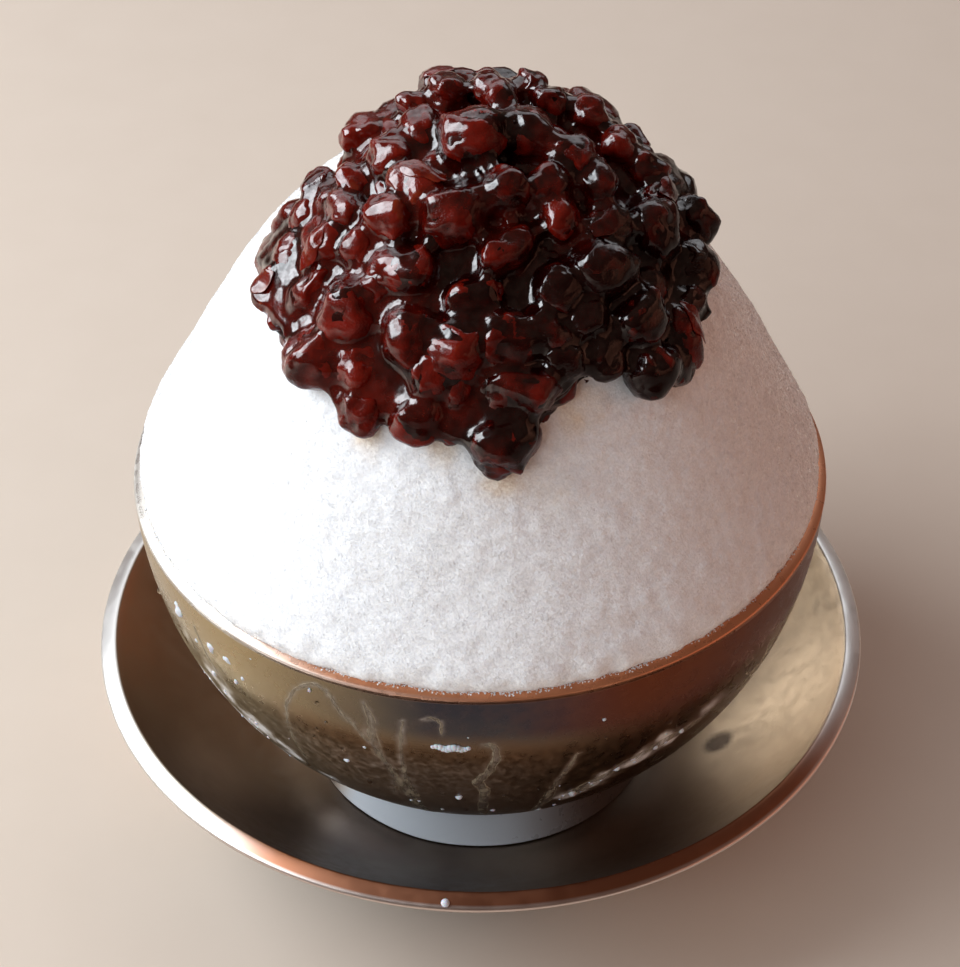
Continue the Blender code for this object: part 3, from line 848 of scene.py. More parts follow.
# Painted warm reflection: the lip's front turns copper.
front_copper_reflection = ease(azimuth, -50, -18) * ease(-azimuth, -130, -90)
set_share(bowl.data, "dark", dark)
set_share(bowl.data, "red", red)
set_share(bowl.data, "mist", mist_at(points) * outside + 0.4 * on_lip * painted_lip_highlight)
set_share(bowl.data, "foot_reflection", foot * foot_reflection_side * (1 - foot_end))
set_share(bowl.data, "rubbed", on_lip)
set_share(bowl.data, "copper", front_copper_reflection * (1 - 0.4 * painted_lip_highlight))
settle(bowl, "bowl_bronze", "bowl")

# %% [markdown]
# ## Drips and their edges
# A drip leaves a thin film of mineral haze that widens as it runs down, and dries first along
# its two sides, where the haze gathers in a low ridge. Each film is a closed strip bent to
# the wall, with a given width at its start and end. Geometry Nodes turn the film's two sides
# into tubes whose thickness wanders, pressed half into the wall. Drips could be painted into
# the bronze, but only real ridges catch the light and stay on the mesh when it is exported.

# %% Films
def film_sides(first_width, last_width, path, seed):
    """Rows of five (angle, height) points across a drip, from its start to its end."""
    curve = path_on_wall(path, seed=seed)
    rows = []
    for step, (angle, height) in enumerate(curve):
        before, after = curve[max(step - 1, 0)], curve[min(step + 1, len(curve) - 1)]
        along = Vector(((after[0] - before[0]) * wall_radius(height), after[1] - before[1])).normalized()
        share = step / (len(curve) - 1)
        width = (first_width + (last_width - first_width) * share) * MM * (1.0 - 0.8 * share**8)
        width *= 1.0 + 0.45 * noise.noise(Vector((step * 0.4, seed * 3.3, 2.0)))
        rows.append([(angle - along.y * width * part / wall_radius(height), height + along.x * width * part)
                     for part in (-0.5, -0.25, 0.0, 0.25, 0.5)])
    return rows


FILM_LIFTS = (-0.02, 0.05, 0.04, 0.05, -0.02)
FILM_RING = 2 * len(FILM_LIFTS)


def drip_films():
    """All films as closed strips: a skin that is highest near its sides, and a back inside the wall."""
    verts, faces = [], []
    for seed, drip in enumerate(DRIPS.values()):
        rows = film_sides(*drip, seed)
        first = len(verts)
        for row in rows:
            verts += [on_wall(angle, height, lift * MM) for (angle, height), lift in zip(row, FILM_LIFTS)]
            verts += [on_wall(angle, height, -0.4 * MM) for angle, height in reversed(row)]
        for here in range(first, len(verts) - FILM_RING, FILM_RING):
            ring = [here + i for i in range(FILM_RING)]
            faces += [(a, b, b + FILM_RING, a + FILM_RING) for a, b in zip(ring, [*ring[1:], here])]
        faces.append(tuple(range(first + FILM_RING - 1, first - 1, -1)))
        faces.append(tuple(range(len(verts) - FILM_RING, len(verts))))
    mesh = bpy.data.meshes.new("drip_films")
    mesh.from_pydata(verts, [], faces)
    return mesh


films = link_piece("drip_films", drip_films(), DRIP_FILM)
close_up(films.data)
settle(films, "bowl_bronze")


# %% Ridges
def build_ridges():
    """Tubes of wandering thickness along paths."""
    tree, given, result = make_group("drip ridges", "GeometryNodeTree", {
        "Paths": (GEOMETRY, None), "Width": (VALUE, 0.5 * MM), "Finish": (MATERIAL, None)},
        {"Ridges": GEOMETRY})
    curve = add_node(tree, "GeometryNodeMeshToCurve", {"Mesh": given["Paths"]}).outputs[0]
    wander = noise_value(tree, tree.nodes.new("GeometryNodeInputPosition").outputs[0], 300.0, 2.0)
    width = calc(tree, "MULTIPLY", given["Width"], ramp(tree, wander, 0.3, 0.7, 0.3, 1.15))
    ring = add_node(tree, "GeometryNodeCurvePrimitiveCircle", {"Resolution": 6, "Radius": 1.0},
                    mode="RADIUS")
    tube = add_node(tree, "GeometryNodeCurveToMesh", {
        "Curve": curve, "Profile Curve": ring.outputs[0], "Scale": width, "Fill Caps": True})
    end_tree(tree, tube.outputs[0], given["Finish"], result["Ridges"])
    return tree


def drip_lines():
    """The sides of all films as a mesh of edges that lie just under the wall's surface."""
    verts, edges = [], []
    for seed, drip in enumerate(DRIPS.values()):
        rows = film_sides(*drip, seed)
        for side in (0, 4):
            first = len(verts)
            verts += [on_wall(*row[side], -0.06 * MM) for row in rows]
            edges += [(i, i + 1) for i in range(first, len(verts) - 1)]
    mesh = bpy.data.meshes.new("drip_lines")
    mesh.from_pydata(verts, edges, [])
    return mesh


ridges = grow(build_ridges(), drip_lines(), "drip_edges", {"Width": 0.11 * MM, "Finish": DRIP_EDGE})
close_up(ridges.data)
settle(ridges, "bowl_bronze")

# %% [markdown]
# ## Scattering small things
# One tree strews small bits over any ground: frozen drops on the wall here, and later the
# loose crystals on the ice. Each bit is turned at random. "strew" on the ground says how
# close they lie and "Lean" how far they tip out of the ground's plane. The ground's own
# direction is kept on every bit as "lie", for its finish. A particle system could scatter
# them too, but it couldn't keep that direction on the bits.

# %% Strewing tree
def build_strewing():
    """Bits of one kind laid over a ground, uneven in size and turned at random."""
    tree, given, result = make_group("strewing", "GeometryNodeTree", {
        "Ground": (GEOMETRY, None), "Bits per square metre": (VALUE, 1e6), "Smallest": (VALUE, 0.3),
        "Largest": (VALUE, 1.0), "Lean": (VECTOR, (3.0, 3.0, 3.0)), "Seed": (COUNT, 1),
        "Bit": ("NodeSocketObject", None), "Finish": (MATERIAL, None)}, {"Strewn": GEOMETRY})
    wanted = add_node(tree, "GeometryNodeInputNamedAttribute", {"Name": "strew"}, data_type="FLOAT")
    density = calc(tree, "MULTIPLY", given["Bits per square metre"], wanted.outputs[0])
    spots = add_node(tree, "GeometryNodeDistributePointsOnFaces", {
        "Mesh": given["Ground"], "Density": density, "Seed": given["Seed"]})
    lie = add_node(tree, "GeometryNodeStoreNamedAttribute", {
        "Geometry": spots.outputs["Points"], "Name": "lie", "Value": spots.outputs["Normal"]},
        data_type="FLOAT_VECTOR", domain="POINT")
    bit = add_node(tree, "GeometryNodeObjectInfo", {"Object": given["Bit"]})
    other_way = vector_calc(tree, "MULTIPLY", given["Lean"], (-1.0, -1.0, -1.0))
    lean = add_node(tree, "FunctionNodeRandomValue", {
        0: other_way, 1: given["Lean"], "Seed": given["Seed"]}, data_type="FLOAT_VECTOR")
    turned = add_node(tree, "FunctionNodeRotateRotation", {
        "Rotation": spots.outputs["Rotation"], "Rotate By": lean.outputs[0]}, rotation_space="LOCAL")
    size = add_node(tree, "FunctionNodeRandomValue", {
        2: given["Smallest"], 3: given["Largest"], "Seed": calc(tree, "ADD", given["Seed"], 7)},
        data_type="FLOAT")
    bits = add_node(tree, "GeometryNodeInstanceOnPoints", {
        "Points": lie.outputs[0], "Instance": bit.outputs["Geometry"],
        "Rotation": turned.outputs[0], "Scale": size.outputs[1]})
    end_tree(tree, bits.outputs[0], given["Finish"], result["Strewn"])
    return tree


STREWING = build_strewing()


# %% Bits to strew
ICOSPHERE_LEVELS = {20: 1, 80: 2}


def make_bit(name, faces, flatness, uneven, seed):
    """A small ball one millimetre across with 8, 20 or 80 faces, flattened and made uneven."""
    bm = bmesh.new()
    if faces in ICOSPHERE_LEVELS:
        bmesh.ops.create_icosphere(bm, subdivisions=ICOSPHERE_LEVELS[faces], radius=0.5 * MM)
    else:
        bmesh.ops.create_uvsphere(bm, u_segments=4, v_segments=2, radius=0.5 * MM)
    rng = random.Random(seed)
    for vert in bm.verts:
        vert.co *= rng.uniform(1 - uneven, 1 + uneven)
        vert.co.z *= flatness
    return bpy.data.objects.new(name, mesh_from(bm, name))


def strew(name, ground, share, per_square_metre, smallest, largest, bit, lean, finish, seed):
    """Scatter a bit over a mesh, as close as the given share says at each of its points."""
    mesh = ground.data.copy()
    set_share(mesh, "strew", share)
    piece = grow(STREWING, mesh, name, {
        "Bits per square metre": per_square_metre, "Smallest": smallest, "Largest": largest,
        "Lean": (lean, lean, math.pi), "Seed": seed, "Bit": bit, "Finish": finish})
    bpy.data.objects.remove(bit)
    return piece


# %% [markdown]
# ## Drops on the wall
# Large drops sit where the cold metal caught them. Each is listed as (degrees from the front,
# height, width) in millimetres. Clear ones are still water; the ones at the left and low down
# have begun to freeze. The small ones are too many to list, so they're strewn over the mist.
# Metaballs would run together as water does, but these drops keep apart, so a ball half sunk
# in the wall is enough for each.

# %% Drops of water, clear and frozen
CLEAR_DROPS = (
    (-23, 55, 1.2), (-20, 44, 1.2), (-27, 59, 0.9), (-28, 56, 0.8), (-27, 70, 0.8), (-26, 67, 0.8),
    (-25, 62, 0.8), (-7, 44.5, 1.1), (-3, 35.5, 1.0), (4, 43.5, 0.9), (10, 45.3, 0.9), (20, 60, 0.7),
    (32, 57, 0.8), (-34, 40, 1.3), (100, 60, 1.4), (140, 50, 1.6), (-110, 62, 1.5), (-150, 52, 1.4),
    (180, 60, 1.3), (75, 52, 1.1), (-70, 60, 1.2), (-85, 48, 1.4))
FROZEN_DROPS = (
    (-57, 68, 3.0), (-48, 66, 2.2), (-44, 66, 2.3), (-41, 64, 1.6), (-38, 71, 0.8), (-53, 64, 1.4),
    (-50, 57, 1.4), (-43, 61, 1.0), (-47, 60, 0.9), (-23, 51, 1.3), (-4, 42.6, 1.2), (-12, 38, 1.2),
    (-8, 33, 1.1), (12, 28.8, 1.9), (2, 34, 0.9), (17, 39, 1.6), (20, 42, 1.5), (24, 46, 1.8),
    (27, 47.5, 1.4), (31, 49, 1.2), (36, 51, 0.9), (-27, 70, 0.6), (120, 55, 1.5), (-130, 58, 1.7))


def drop_mesh(name, drops, uneven, sunk):
    """Drops as balls half sunk in the wall, a little taller than wide, from (degrees, height, width)."""
    rng = random.Random(19)
    bm = bmesh.new()
    for angle, height, width in drops:
        centre = on_wall(math.radians(angle), height * MM, -sunk * width * MM)
        stretch = Matrix.Diagonal((1.0, 1.0, rng.uniform(1.25 - uneven, 1.25 + uneven), 1.0))
        bmesh.ops.create_icosphere(bm, subdivisions=3, radius=0.5 * width * MM,
                                   matrix=Matrix.Translation(centre) @ stretch)
    mesh = mesh_from(bm, name)
    points = points_of(mesh)
    set_points(mesh, points + normals_of(mesh) * (uneven * MM * lumps(points, 1.0 * MM, 7))[:, None])
    return mesh


clear_drops = drop_mesh("drops_clear", CLEAR_DROPS, uneven=0.12, sunk=0.15)
settle(link_piece("drops_clear", clear_drops, MELT_WATER), "bowl_bronze")
frozen_drops = drop_mesh("drops_frozen", FROZEN_DROPS, uneven=0.5, sunk=0.34)
settle(link_piece("drops_frozen", frozen_drops, FROZEN_DROP), "bowl_bronze")

# %% Small drops, a painted highlight bar and a drop on the saucer's rim
points = points_of(bowl.data)
below_lip = ease(RIM_Z - points[:, 2], 4 * MM, 9 * MM)
above_foot = ease(points[:, 2], BOWL_FOOT_Z + 9 * MM, BOWL_FOOT_Z + 12 * MM)
damp = (ease(mist_at(points), 0.55, 0.85) + 0.008) * below_lip * above_foot * outside
small_drops = strew("drops_small", bowl, damp, per_square_metre=2.5e5, smallest=0.25, largest=0.85,
                    bit=make_bit("drop", 80, 0.5, 0.14, 2), lean=0.2, finish=FROZEN_DROP, seed=41)
settle(small_drops, "bowl_bronze")


def water_sheet():
    """A short level bar of milky white beads on the wall, a painted highlight, and one drop on the saucer's
    rim.
    """
    bm = bmesh.new()
    for step in range(11):
        width = (0.5 + 0.35 * math.sin(math.pi * step / 10)) * MM
        height = 61.6 * MM + 0.25 * MM * math.sin(step * 1.3)
        centre = on_wall(math.radians(-7.5 + 0.55 * step), height, -0.1 * MM)
        bmesh.ops.create_icosphere(bm, subdivisions=2, radius=width, matrix=Matrix.Translation(centre))
    on_saucer = Vector((-6.5 * MM, -(SAUCER_RADIUS - 1.3 * MM), SAUCER_HEIGHT - 0.8 * MM))
    bmesh.ops.create_icosphere(bm, subdivisions=3, radius=0.8 * MM, matrix=Matrix.Translation(on_saucer))
    return mesh_from(bm, "water_sheet")


# A painted highlight: milky beads on the wall where a window would be mirrored.
settle(link_piece("water_sheet", water_sheet(), FROZEN_DROP), "bowl_bronze")

# %% [markdown]
# ## Shaved ice
# The ice is heaped by hand into a steep round mound whose foot sits just inside the lip. The
# lathe turns its smooth form, solid down to the bowl's floor. Noise at several sizes gives it
# the soft swells, lumps and pits of packed shavings, and at the front it bulges raggedly over
# the lip. It could be sculpted, but noise needs only a few numbers and goes all the way round.
# Distance down the slope from the top and degrees from the front say where things lie on it.

# %% The mound's slope, as degrees and distance down
MOUND_OUTLINE = ((0, 67.5), (15.5, 65), (24.6, 60), (31.2, 54), (38.2, 46), (44, 38), (48.8, 30), (53.4, 22),
                 (57.2, 15), (60.3, 10), (62.3, 6), (63.3, 3), (63.3, 1.2), (63.0, -0.3), (62.2, -2.0))


def measure_slope():
    """The outline as closely spaced lengths from the top, radii and heights."""
    curve = np.array(smooth_curve(MOUND_OUTLINE, 24)) * MM
    steps = np.hypot(*np.diff(curve, axis=0).T)
    return np.concatenate(([0.0], np.cumsum(steps))), curve[:, 0], curve[:, 1] + RIM_Z


SLOPE_LENGTHS, SLOPE_RADII, SLOPE_HEIGHTS = measure_slope()


def down_slope(length):
    """Radius and height at a distance down the slope from the top."""
    return (float(np.interp(length, SLOPE_LENGTHS, SLOPE_RADII)),
            float(np.interp(length, SLOPE_LENGTHS, SLOPE_HEIGHTS)))


def mound_axes(azimuth, length):
    """Place on the mound, with the directions round it, down it and out of it."""
    radius, height = down_slope(length)
    before, after = down_slope(max(length - MM, 0.0)), down_slope(length + MM)
    side = math.radians(azimuth)
    outward = Vector((math.sin(side), -math.cos(side), 0.0))
    around = Vector((math.cos(side), math.sin(side), 0.0))
    down = (outward * (after[0] - before[0]) + Vector((0, 0, 1)) * (after[1] - before[1])).normalized()
    return outward * radius + Vector((0, 0, height)), around, down, around.cross(down) * -1.0


print(f"from top to lip the slope is {SLOPE_LENGTHS[-1] / MM:.0f} mm long")

# %% Turn the mound
UNDER_HEAP = 20 * MM
ICE_GAP = 0.3 * MM


def ice_profile():
    """Outline of the whole ice, from the middle of its floor to its top."""
    wall = reversed(ellipse_wall(BOWL_WALL + ICE_GAP, ICE_FLOOR_Z, 14))
    cup = [(radius, height) for radius, height in wall if height < RIM_Z - 2 * MM]
    fine = np.arange(SLOPE_LENGTHS[-1], UNDER_HEAP, -0.62 * MM)
    coarse = np.linspace(UNDER_HEAP, 0.0, 12)
    return [(0.0, ICE_FLOOR_Z), *cup, *(down_slope(length) for length in (*fine, *coarse))]


def roughen_ice(points, normals):
    """Swells, lumps and pits of packed shavings, and a ragged bulge over the lip at the front."""
    height = points[:, 2] - RIM_Z
    shown = ease(height, -3 * MM, 0)
    swell = 0.55 * lumps(points, 22 * MM, 1)
    lump = 0.20 * lumps(points, 5 * MM, 2) + 0.16 * lumps(points, 2.2 * MM, 3)
    pit = 0.16 * lumps(points, 1.1 * MM, 4) + 0.25 * lumps(points, 1.6 * MM, 5) * bump_at(height, 0, 3 * MM)
    over_lip = 0.9 * bump_at(degrees_from_front(points), 0, 48) * (1 + 0.7 * lumps(points, 3 * MM, 33))
    over_lip *= ease(height, -0.4 * MM, 0.5 * MM) * ease(-height, -9 * MM, -2 * MM)
    outwards = points * (1.0, 1.0, 0.0) / BOWL_RADIUS
    return points + (normals * ((swell + lump + pit) * shown)[:, None] + outwards * over_lip[:, None]) * MM


ice = turn("ice_mound", ice_profile(), 400, PACKED_ICE)
set_points(ice.data, roughen_ice(points_of(ice.data), normals_of(ice.data)))

# %% [markdown]
# ## Juice soaked into the ice
# Red juice runs out from under the beans and is drawn into the ice, deepest below the tips of
# the heap. A few spots say where, as (degrees, distance down the slope, reach, strength). No
# pattern in a material could know where the tips are, so the amount is stored on the mesh,
# and the ice finish only breaks up its edges with noise.

# %% Where juice has soaked in
JUICE_SPOTS = ((5, 61, 6, 0.65), (-8, 57, 4, 0.6), (-25, 57, 4, 0.6), (-45, 52, 3, 0.35), (22, 52, 7, 0.6),
               (48, 57, 5, 0.45), (62, 50, 5, 0.4), (14, 66, 7, 0.35), (85, 45, 5, 0.4), (130, 36, 6, 0.5),
               (175, 34, 6, 0.5), (-150, 34, 6, 0.5), (-100, 36, 5, 0.4))


def soaked_at(points):
    """How much juice the ice holds at each point."""
    soaked = np.zeros(len(points))
    for azimuth, length, reach, strength in JUICE_SPOTS:
        spot = mound_axes(azimuth, length * MM)[0]
        away = np.linalg.norm(points - np.array(spot), axis=1)
        soaked = np.maximum(soaked, strength * np.exp(-(away / (reach * MM))**2))
    return soaked


soaked = soaked_at(points_of(ice.data))
set_share(ice.data, "soaked", soaked)
settle(ice, "shaved_ice", "shaved_ice")
print(f"juice reaches {np.mean(soaked > 0.1):.0%} of the ice's points")

# %% [markdown]
# ## Loose ice
# What makes the mound look cold and soft is its coat of separate shavings. Bump in the finish
# could hint at them, but would leave the outline smooth. The strewing tree lays three sorts:
# fine crystals all over the part that shows, coarser flat flakes among them, and crumbs that
# have fallen on the lip, most of them at the front.

# %% Crystals, flakes and crumbs
def strew_ice(name, ground, share, **how):
    """Loose ice of one sort, with flat facets."""
    piece = strew(name, ground, share, finish=LOOSE_ICE, **how)
    piece.data.shade_flat()
    settle(piece, "shaved_ice")


points = points_of(ice.data)
bare = ease(points[:, 2], RIM_Z - 1.2 * MM, RIM_Z - 0.5 * MM)
bare *= np.hypot(points[:, 0], points[:, 1]) > 24 * MM
strew_ice("ice_grains", ice, bare, per_square_metre=1.08e6, smallest=0.2, largest=0.45,
          bit=make_bit("grain", 8, 0.5, 0.25, 5), lean=0.5, seed=11)
clumped = bare * ease(lumps(points, 9 * MM, 21), -0.3, 0.5)
strew_ice("ice_flakes", ice, clumped, per_square_metre=2.2e5, smallest=0.25, largest=0.5,
          bit=make_bit("flake", 20, 0.4, 0.25, 9), lean=0.5, seed=23)

# Crumbs reach across the lip, furthest at the front.
points = points_of(bowl.data)
radii = np.hypot(points[:, 0], points[:, 1])
spread = 0.35 + 0.75 * bump_at(degrees_from_front(points), 2, 38) + 0.5 * lumps(points, 3.5 * MM, 31)
reach = BOWL_RADIUS - BOWL_RIM_WIDTH + spread * MM
spilled = ease(reach - radii, -0.35 * MM, 0.35 * MM)
spilled *= ease(points[:, 2], RIM_Z - 1.2 * MM, RIM_Z - 0.7 * MM)
strew_ice("ice_crumbs", bowl, spilled, per_square_metre=1.3e7, smallest=0.18, largest=0.6,
          bit=make_bit("crumb", 8, 0.7, 0.3, 14), lean=1.5, seed=37)

# %% [markdown]
# ## Sweet red beans
# Adzuki beans simmered in sugar until their skins wrinkle and some burst. Each bean here is
# its own body: a ball of quads squashed to an oblong and pressed flat on a few sides, with
# lumps and folds in its skin. A few shapes used over and over would be lighter, but the eye
# finds them at once. The beans that give the heap its shape are placed one by one as
# (degrees, distance down the slope, lift, width, height, tone) in millimetres. Tone runs from
# 0, near black, over red at 0.5 to 1, the brown of a thin skin. The rest fill the gaps.

# %% Rows of placed beans
LEFT_FLANK = (
    (-65, 44.5, 3.0, 5.5, 4.5, 0.75), (-66, 41, 3.5, 5.5, 4, 0.6), (-59, 46, 2.5, 4, 4.5, 0.4),
    (-51, 39, 4, 5, 9, 0.35), (-36, 38.5, 5.5, 9, 9.5, 0.4), (-41, 47.5, 4, 9.5, 9.5, 0.4),
    (-30, 46, 3.5, 7.5, 6.5, 0.5), (-26, 53, 3, 6.5, 6.5, 0.3), (-42, 28.5, 5, 5.5, 5, 0.35),
    (-54, 29.5, 4.5, 6, 9.5, 0.6), (-57, 25, 5.5, 7.5, 5.5, 0.6), (-55, 34, 4, 4, 4.5, 0.85),
    (-75, 31.5, 3.5, 5, 6, 0.6), (-69, 36, 3, 5, 6, 0.6), (-82, 27.5, 4, 6, 5.5, 0.5),
    (-64, 21.5, 5.5, 6.5, 5, 0.95), (-59, 15, 7, 6.5, 8.5, 0.45), (-104, 19, 4, 8.5, 7, 0.6))
FRONT_EDGE = (
    (-13.5, 51.5, 3.5, 7.5, 8, 0.35), (-7, 53, 2.5, 3.5, 5, 0.4), (5, 55.5, 3.5, 10, 9, 0.35),
    (3, 58.5, 2.5, 6, 5, 0.3), (8.5, 47.5, 4.5, 11.5, 7.5, 0.2), (-6, 46, 4, 8, 7.5, 0.3))
FACE = (
    (-17, 40, 5.5, 8.5, 9.5, 0.45), (-6, 40.5, 6, 8.5, 9.5, 0.5), (-11, 44.5, 5, 7, 7.5, 0.55),
    (6.5, 39, 5, 9, 8, 0.5), (17.5, 38.5, 5, 8.5, 8, 0.35), (-1, 32.5, 5, 8, 5.5, 0.75),
    (-30, 33.5, 5, 5.5, 5, 0.3), (-24.5, 29.5, 5.5, 10.5, 7, 0.55), (-36, 23, 6.5, 8, 8, 0.5),
    (-12, 19.5, 7, 10, 11, 0.35), (-30, 18, 7.5, 9, 6.5, 0.9), (9, 26, 6.5, 10.5, 5.5, 0.35),
    (13, 17, 8, 7.5, 7.5, 0.1), (23, 33, 6, 7.5, 7, 0.1), (20, 43.5, 5, 6.5, 6.5, 0.15),
    (28, 38, 5.5, 6.5, 6.5, 0.15))
CROWN = (
    (-68, 9.5, 8, 8, 6, 0.3), (-117, 11.5, 7, 5, 5, 0.4), (-142, 7.5, 9, 6, 6, 0.35),
    (125, 3, 9.5, 10, 5.5, 0.3), (136, 11.5, 9, 5, 4.5, 0.4), (107, 11.5, 9, 5, 5, 0.3),
    (-5.5, 7.5, 10, 9.5, 10.5, 0.55), (52, 9.5, 9.5, 7.5, 8.5, 0.4), (56, 16.5, 9, 6.5, 7, 0.3),
    (100, 17, 8, 6, 6, 0.35), (85, 21, 8, 6.5, 5.5, 0.45))
RIGHT_FLANK = (
    (34, 18.5, 8, 6.5, 6.5, 0.1), (31, 22.5, 7.5, 6, 7.5, 0.4), (55, 21, 8, 6.5, 7.5, 0.1),
    (83, 26.5, 7.5, 7, 6.5, 0.2), (74, 29.5, 7.5, 6, 4.5, 0.2), (63, 32, 7, 8.5, 9, 0.1),
    (85, 39, 6, 7, 8, 0.25), (69, 42, 5.5, 8, 8.5, 0.3), (38, 31.5, 7, 10, 9, 0.05),
    (47, 27, 7, 9, 6, 0.1), (60, 44.5, 5, 5, 5, 0.35), (42, 41, 6, 8.5, 8.5, 0.3),
    (29, 44, 4.5, 5.5, 8.5, 0.1), (53, 49, 4.5, 5, 10, 0.7), (49, 53, 3, 5, 4.5, 0.3),
    (41, 50, 4.5, 9, 8, 0.15))


# %% A bean's body
def ball_of_quads(cuts):
    """Points and faces of a unit ball made from a divided cube, which has no poles."""
    bm = bmesh.new()
    bmesh.ops.create_cube(bm, size=2.0)
    bmesh.ops.subdivide_edges(bm, edges=bm.edges, cuts=cuts, use_grid_fill=True)
    bm.verts.ensure_lookup_table()
    ball = np.array([vert.co.normalized() for vert in bm.verts])
    faces = [[vert.index for vert in face.verts] for face in bm.faces]
    bm.free()
    return ball, faces


def any_direction(rng):
    """A random unit direction."""
    direction = np.array([rng.gauss(0, 1) for _ in range(3)])
    return direction / np.linalg.norm(direction)


# %% One cooked bean
def bean_points(ball, width, height, burst, rng):
    """A unit ball made into one cooked bean, and how much paler or darker each point is: painted light on
    its lumps, painted shade in its hollows and folds, and paler thin skin along a split.

    A burst bean's skin has split along a line on its upper side and stands up beside it.
    """
    half = np.array((width, height, rng.uniform(0.80, 0.95) * min(width, height))) / 2
    shape = np.sign(ball) * np.abs(ball)**rng.uniform(0.80, 1.0) * half
    for _ in range(rng.choice((2, 3, 4))):
        side = any_direction(rng)
        reach = np.linalg.norm(half * side) * rng.uniform(0.60, 0.90)
        shape -= np.clip(shape @ side - reach, 0, None)[:, None] * side * 0.75
    seed = rng.uniform(0, 50)
    lump = sum(depth * lumps(shape, size, seed + shift)
               for depth, size, shift in ((0.80, 3.8, 0), (0.40, 1.9, 3), (0.15, 0.9, 5)))
    fold = np.clip(1.0 - np.abs(lumps(shape * (1.0, 0.5, 1.0), 1.7, seed + 9)) * 4.0, 0, 1)
    change = lump - rng.choice((0.0, 0.03, 0.06, 0.12)) * fold
    # Painted light on the lumps and painted shade in the hollows and folds.
    shading_and_skin_tone = 0.22 * ease(lump, 0.15, 0.6) - 0.12 * ease(-lump, 0.1, 0.5) - 0.10 * fold
    if burst:
        turn_by = rng.uniform(0, math.pi)
        across = shape[:, 0] * math.cos(turn_by) + shape[:, 1] * math.sin(turn_by)
        across = across + rng.uniform(-0.8, 0.8) + 0.5 * lumps(shape, 2.0, seed + 20)
        along = shape[:, 1] * math.cos(turn_by) - shape[:, 0] * math.sin(turn_by)
        open_part = ease(shape[:, 2], 0, 0.6 * half[2]) * bump_at(along, rng.uniform(-1.5, 1.5), 2.4)
        lip = bump_at(np.abs(across), 1.2, 0.5) * open_part
        change = change - 1.1 * bump_at(across, 0, 0.7) * open_part + 0.3 * lip
        shading_and_skin_tone = shading_and_skin_tone + 0.35 * lip
    return (shape + ball * change[:, None]) * MM, shading_and_skin_tone


# %% Tone and wetness over the heap
def painted_light_tone(points):
    """Painted light and shade on the heap: redder on the lit left and crown, near black on the shaded right,
    with slow random swings.
    """
    azimuth = degrees_from_front(points)
    left = ease(-azimuth, -35, 45) * (1 - 0.6 * ease(np.abs(azimuth), 95, 150))
    crown = ease(points[:, 2], RIM_Z + 56 * MM, RIM_Z + 70 * MM)
    return -0.02 + np.maximum(0.30 * left, 0.24 * crown) + 0.14 * lumps(points, 14 * MM, 90)


WET_SIDE = (-0.50, 0.05, 0.86)


def wet_down(mesh):
    """Syrup lies on the sides of the heap that face up and to the left; the undersides are duller."""
    set_share(mesh, "wet", ease(normals_of(mesh) @ WET_SIDE, 0.05, 0.6))


def settle_beans(piece, *nodes):
    """Close a piece made of separate bodies, wet it and settle it."""
    close_up(piece.data)
    wet_down(piece.data)
    settle(piece, "sweet_red_bean", *nodes)


# %% All beans of a list as one mesh
BEAN_SWELL = 1.2
BURST_WIDTH = 7.5


def bean_mesh(name, rows, cuts, seed, sink):
    """One body for each row, with its tone; each lies on the mound at its lift."""
    ball, ball_faces = ball_of_quads(cuts)
    rng = random.Random(seed)
    points, faces, tones = [], [], []
    for azimuth, length, lift, width, height, tone in rows:
        origin, around, down, out = mound_axes(azimuth, length * MM)
        burst = width > BURST_WIDTH and rng.random() < 0.2
        local, shading_and_skin_tone = bean_points(ball, width * BEAN_SWELL, height * BEAN_SWELL, burst, rng)
        tilt = Euler([rng.uniform(-most, most) for most in (0.3, 0.3, 0.4)]).to_matrix()
        axes = Matrix((around, -down, out)).transposed() @ tilt
        centre = origin + out * (lift - sink * min(width, height)) * MM
        placed = local @ np.array(axes).T + np.array(centre)
        first = sum(len(part) for part in points)
        faces += [[first + corner for corner in face] for face in ball_faces]
        points.append(placed)
        # Painted light and shade by place on the heap is added to each bean's listed tone.
        tone = 0.5 * tone + painted_light_tone(np.array([centre]))[0]
        tones.append(tone + shading_and_skin_tone + 0.18 * lumps(placed, 3 * MM, 4) + 0.1 * lumps(placed, 1 * MM, 6))
    mesh = bpy.data.meshes.new(name)
    mesh.from_pydata(np.vstack(points).tolist(), [], faces)
    set_share(mesh, "tone", np.clip(np.concatenate(tones), 0, 1))
    return mesh


PLACED_BEANS = (*LEFT_FLANK, *FRONT_EDGE, *FACE, *CROWN, *RIGHT_FLANK)
placed_mesh = bean_mesh("beans_placed", PLACED_BEANS, cuts=13, seed=31, sink=0.15)
beans = link_piece("beans_placed", placed_mesh, BEAN_FINISH)
settle_beans(beans, "red_bean_heap")

# %% [markdown]
# ## Filling beans
# The other beans only have to lie close over the rest of the heap. Places are tried at random
# on the CAD heap's own surface, with a fixed seed, and kept when no bean is near yet. Beans
# could be poured in a physics simulation, but that would leave the heap's outline to chance.
# Two spots low at the front stay free, where the ice shows between the tips of the heap.

# %% Find places for the filling beans
def heap_surface():
    """The CAD heap as one closed mesh, as an object to measure against."""
    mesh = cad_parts["red_bean_heap"].data.copy()
    heap = link_piece("heap_form", mesh)
    close_up(mesh, 0.01 * MM)
    return heap


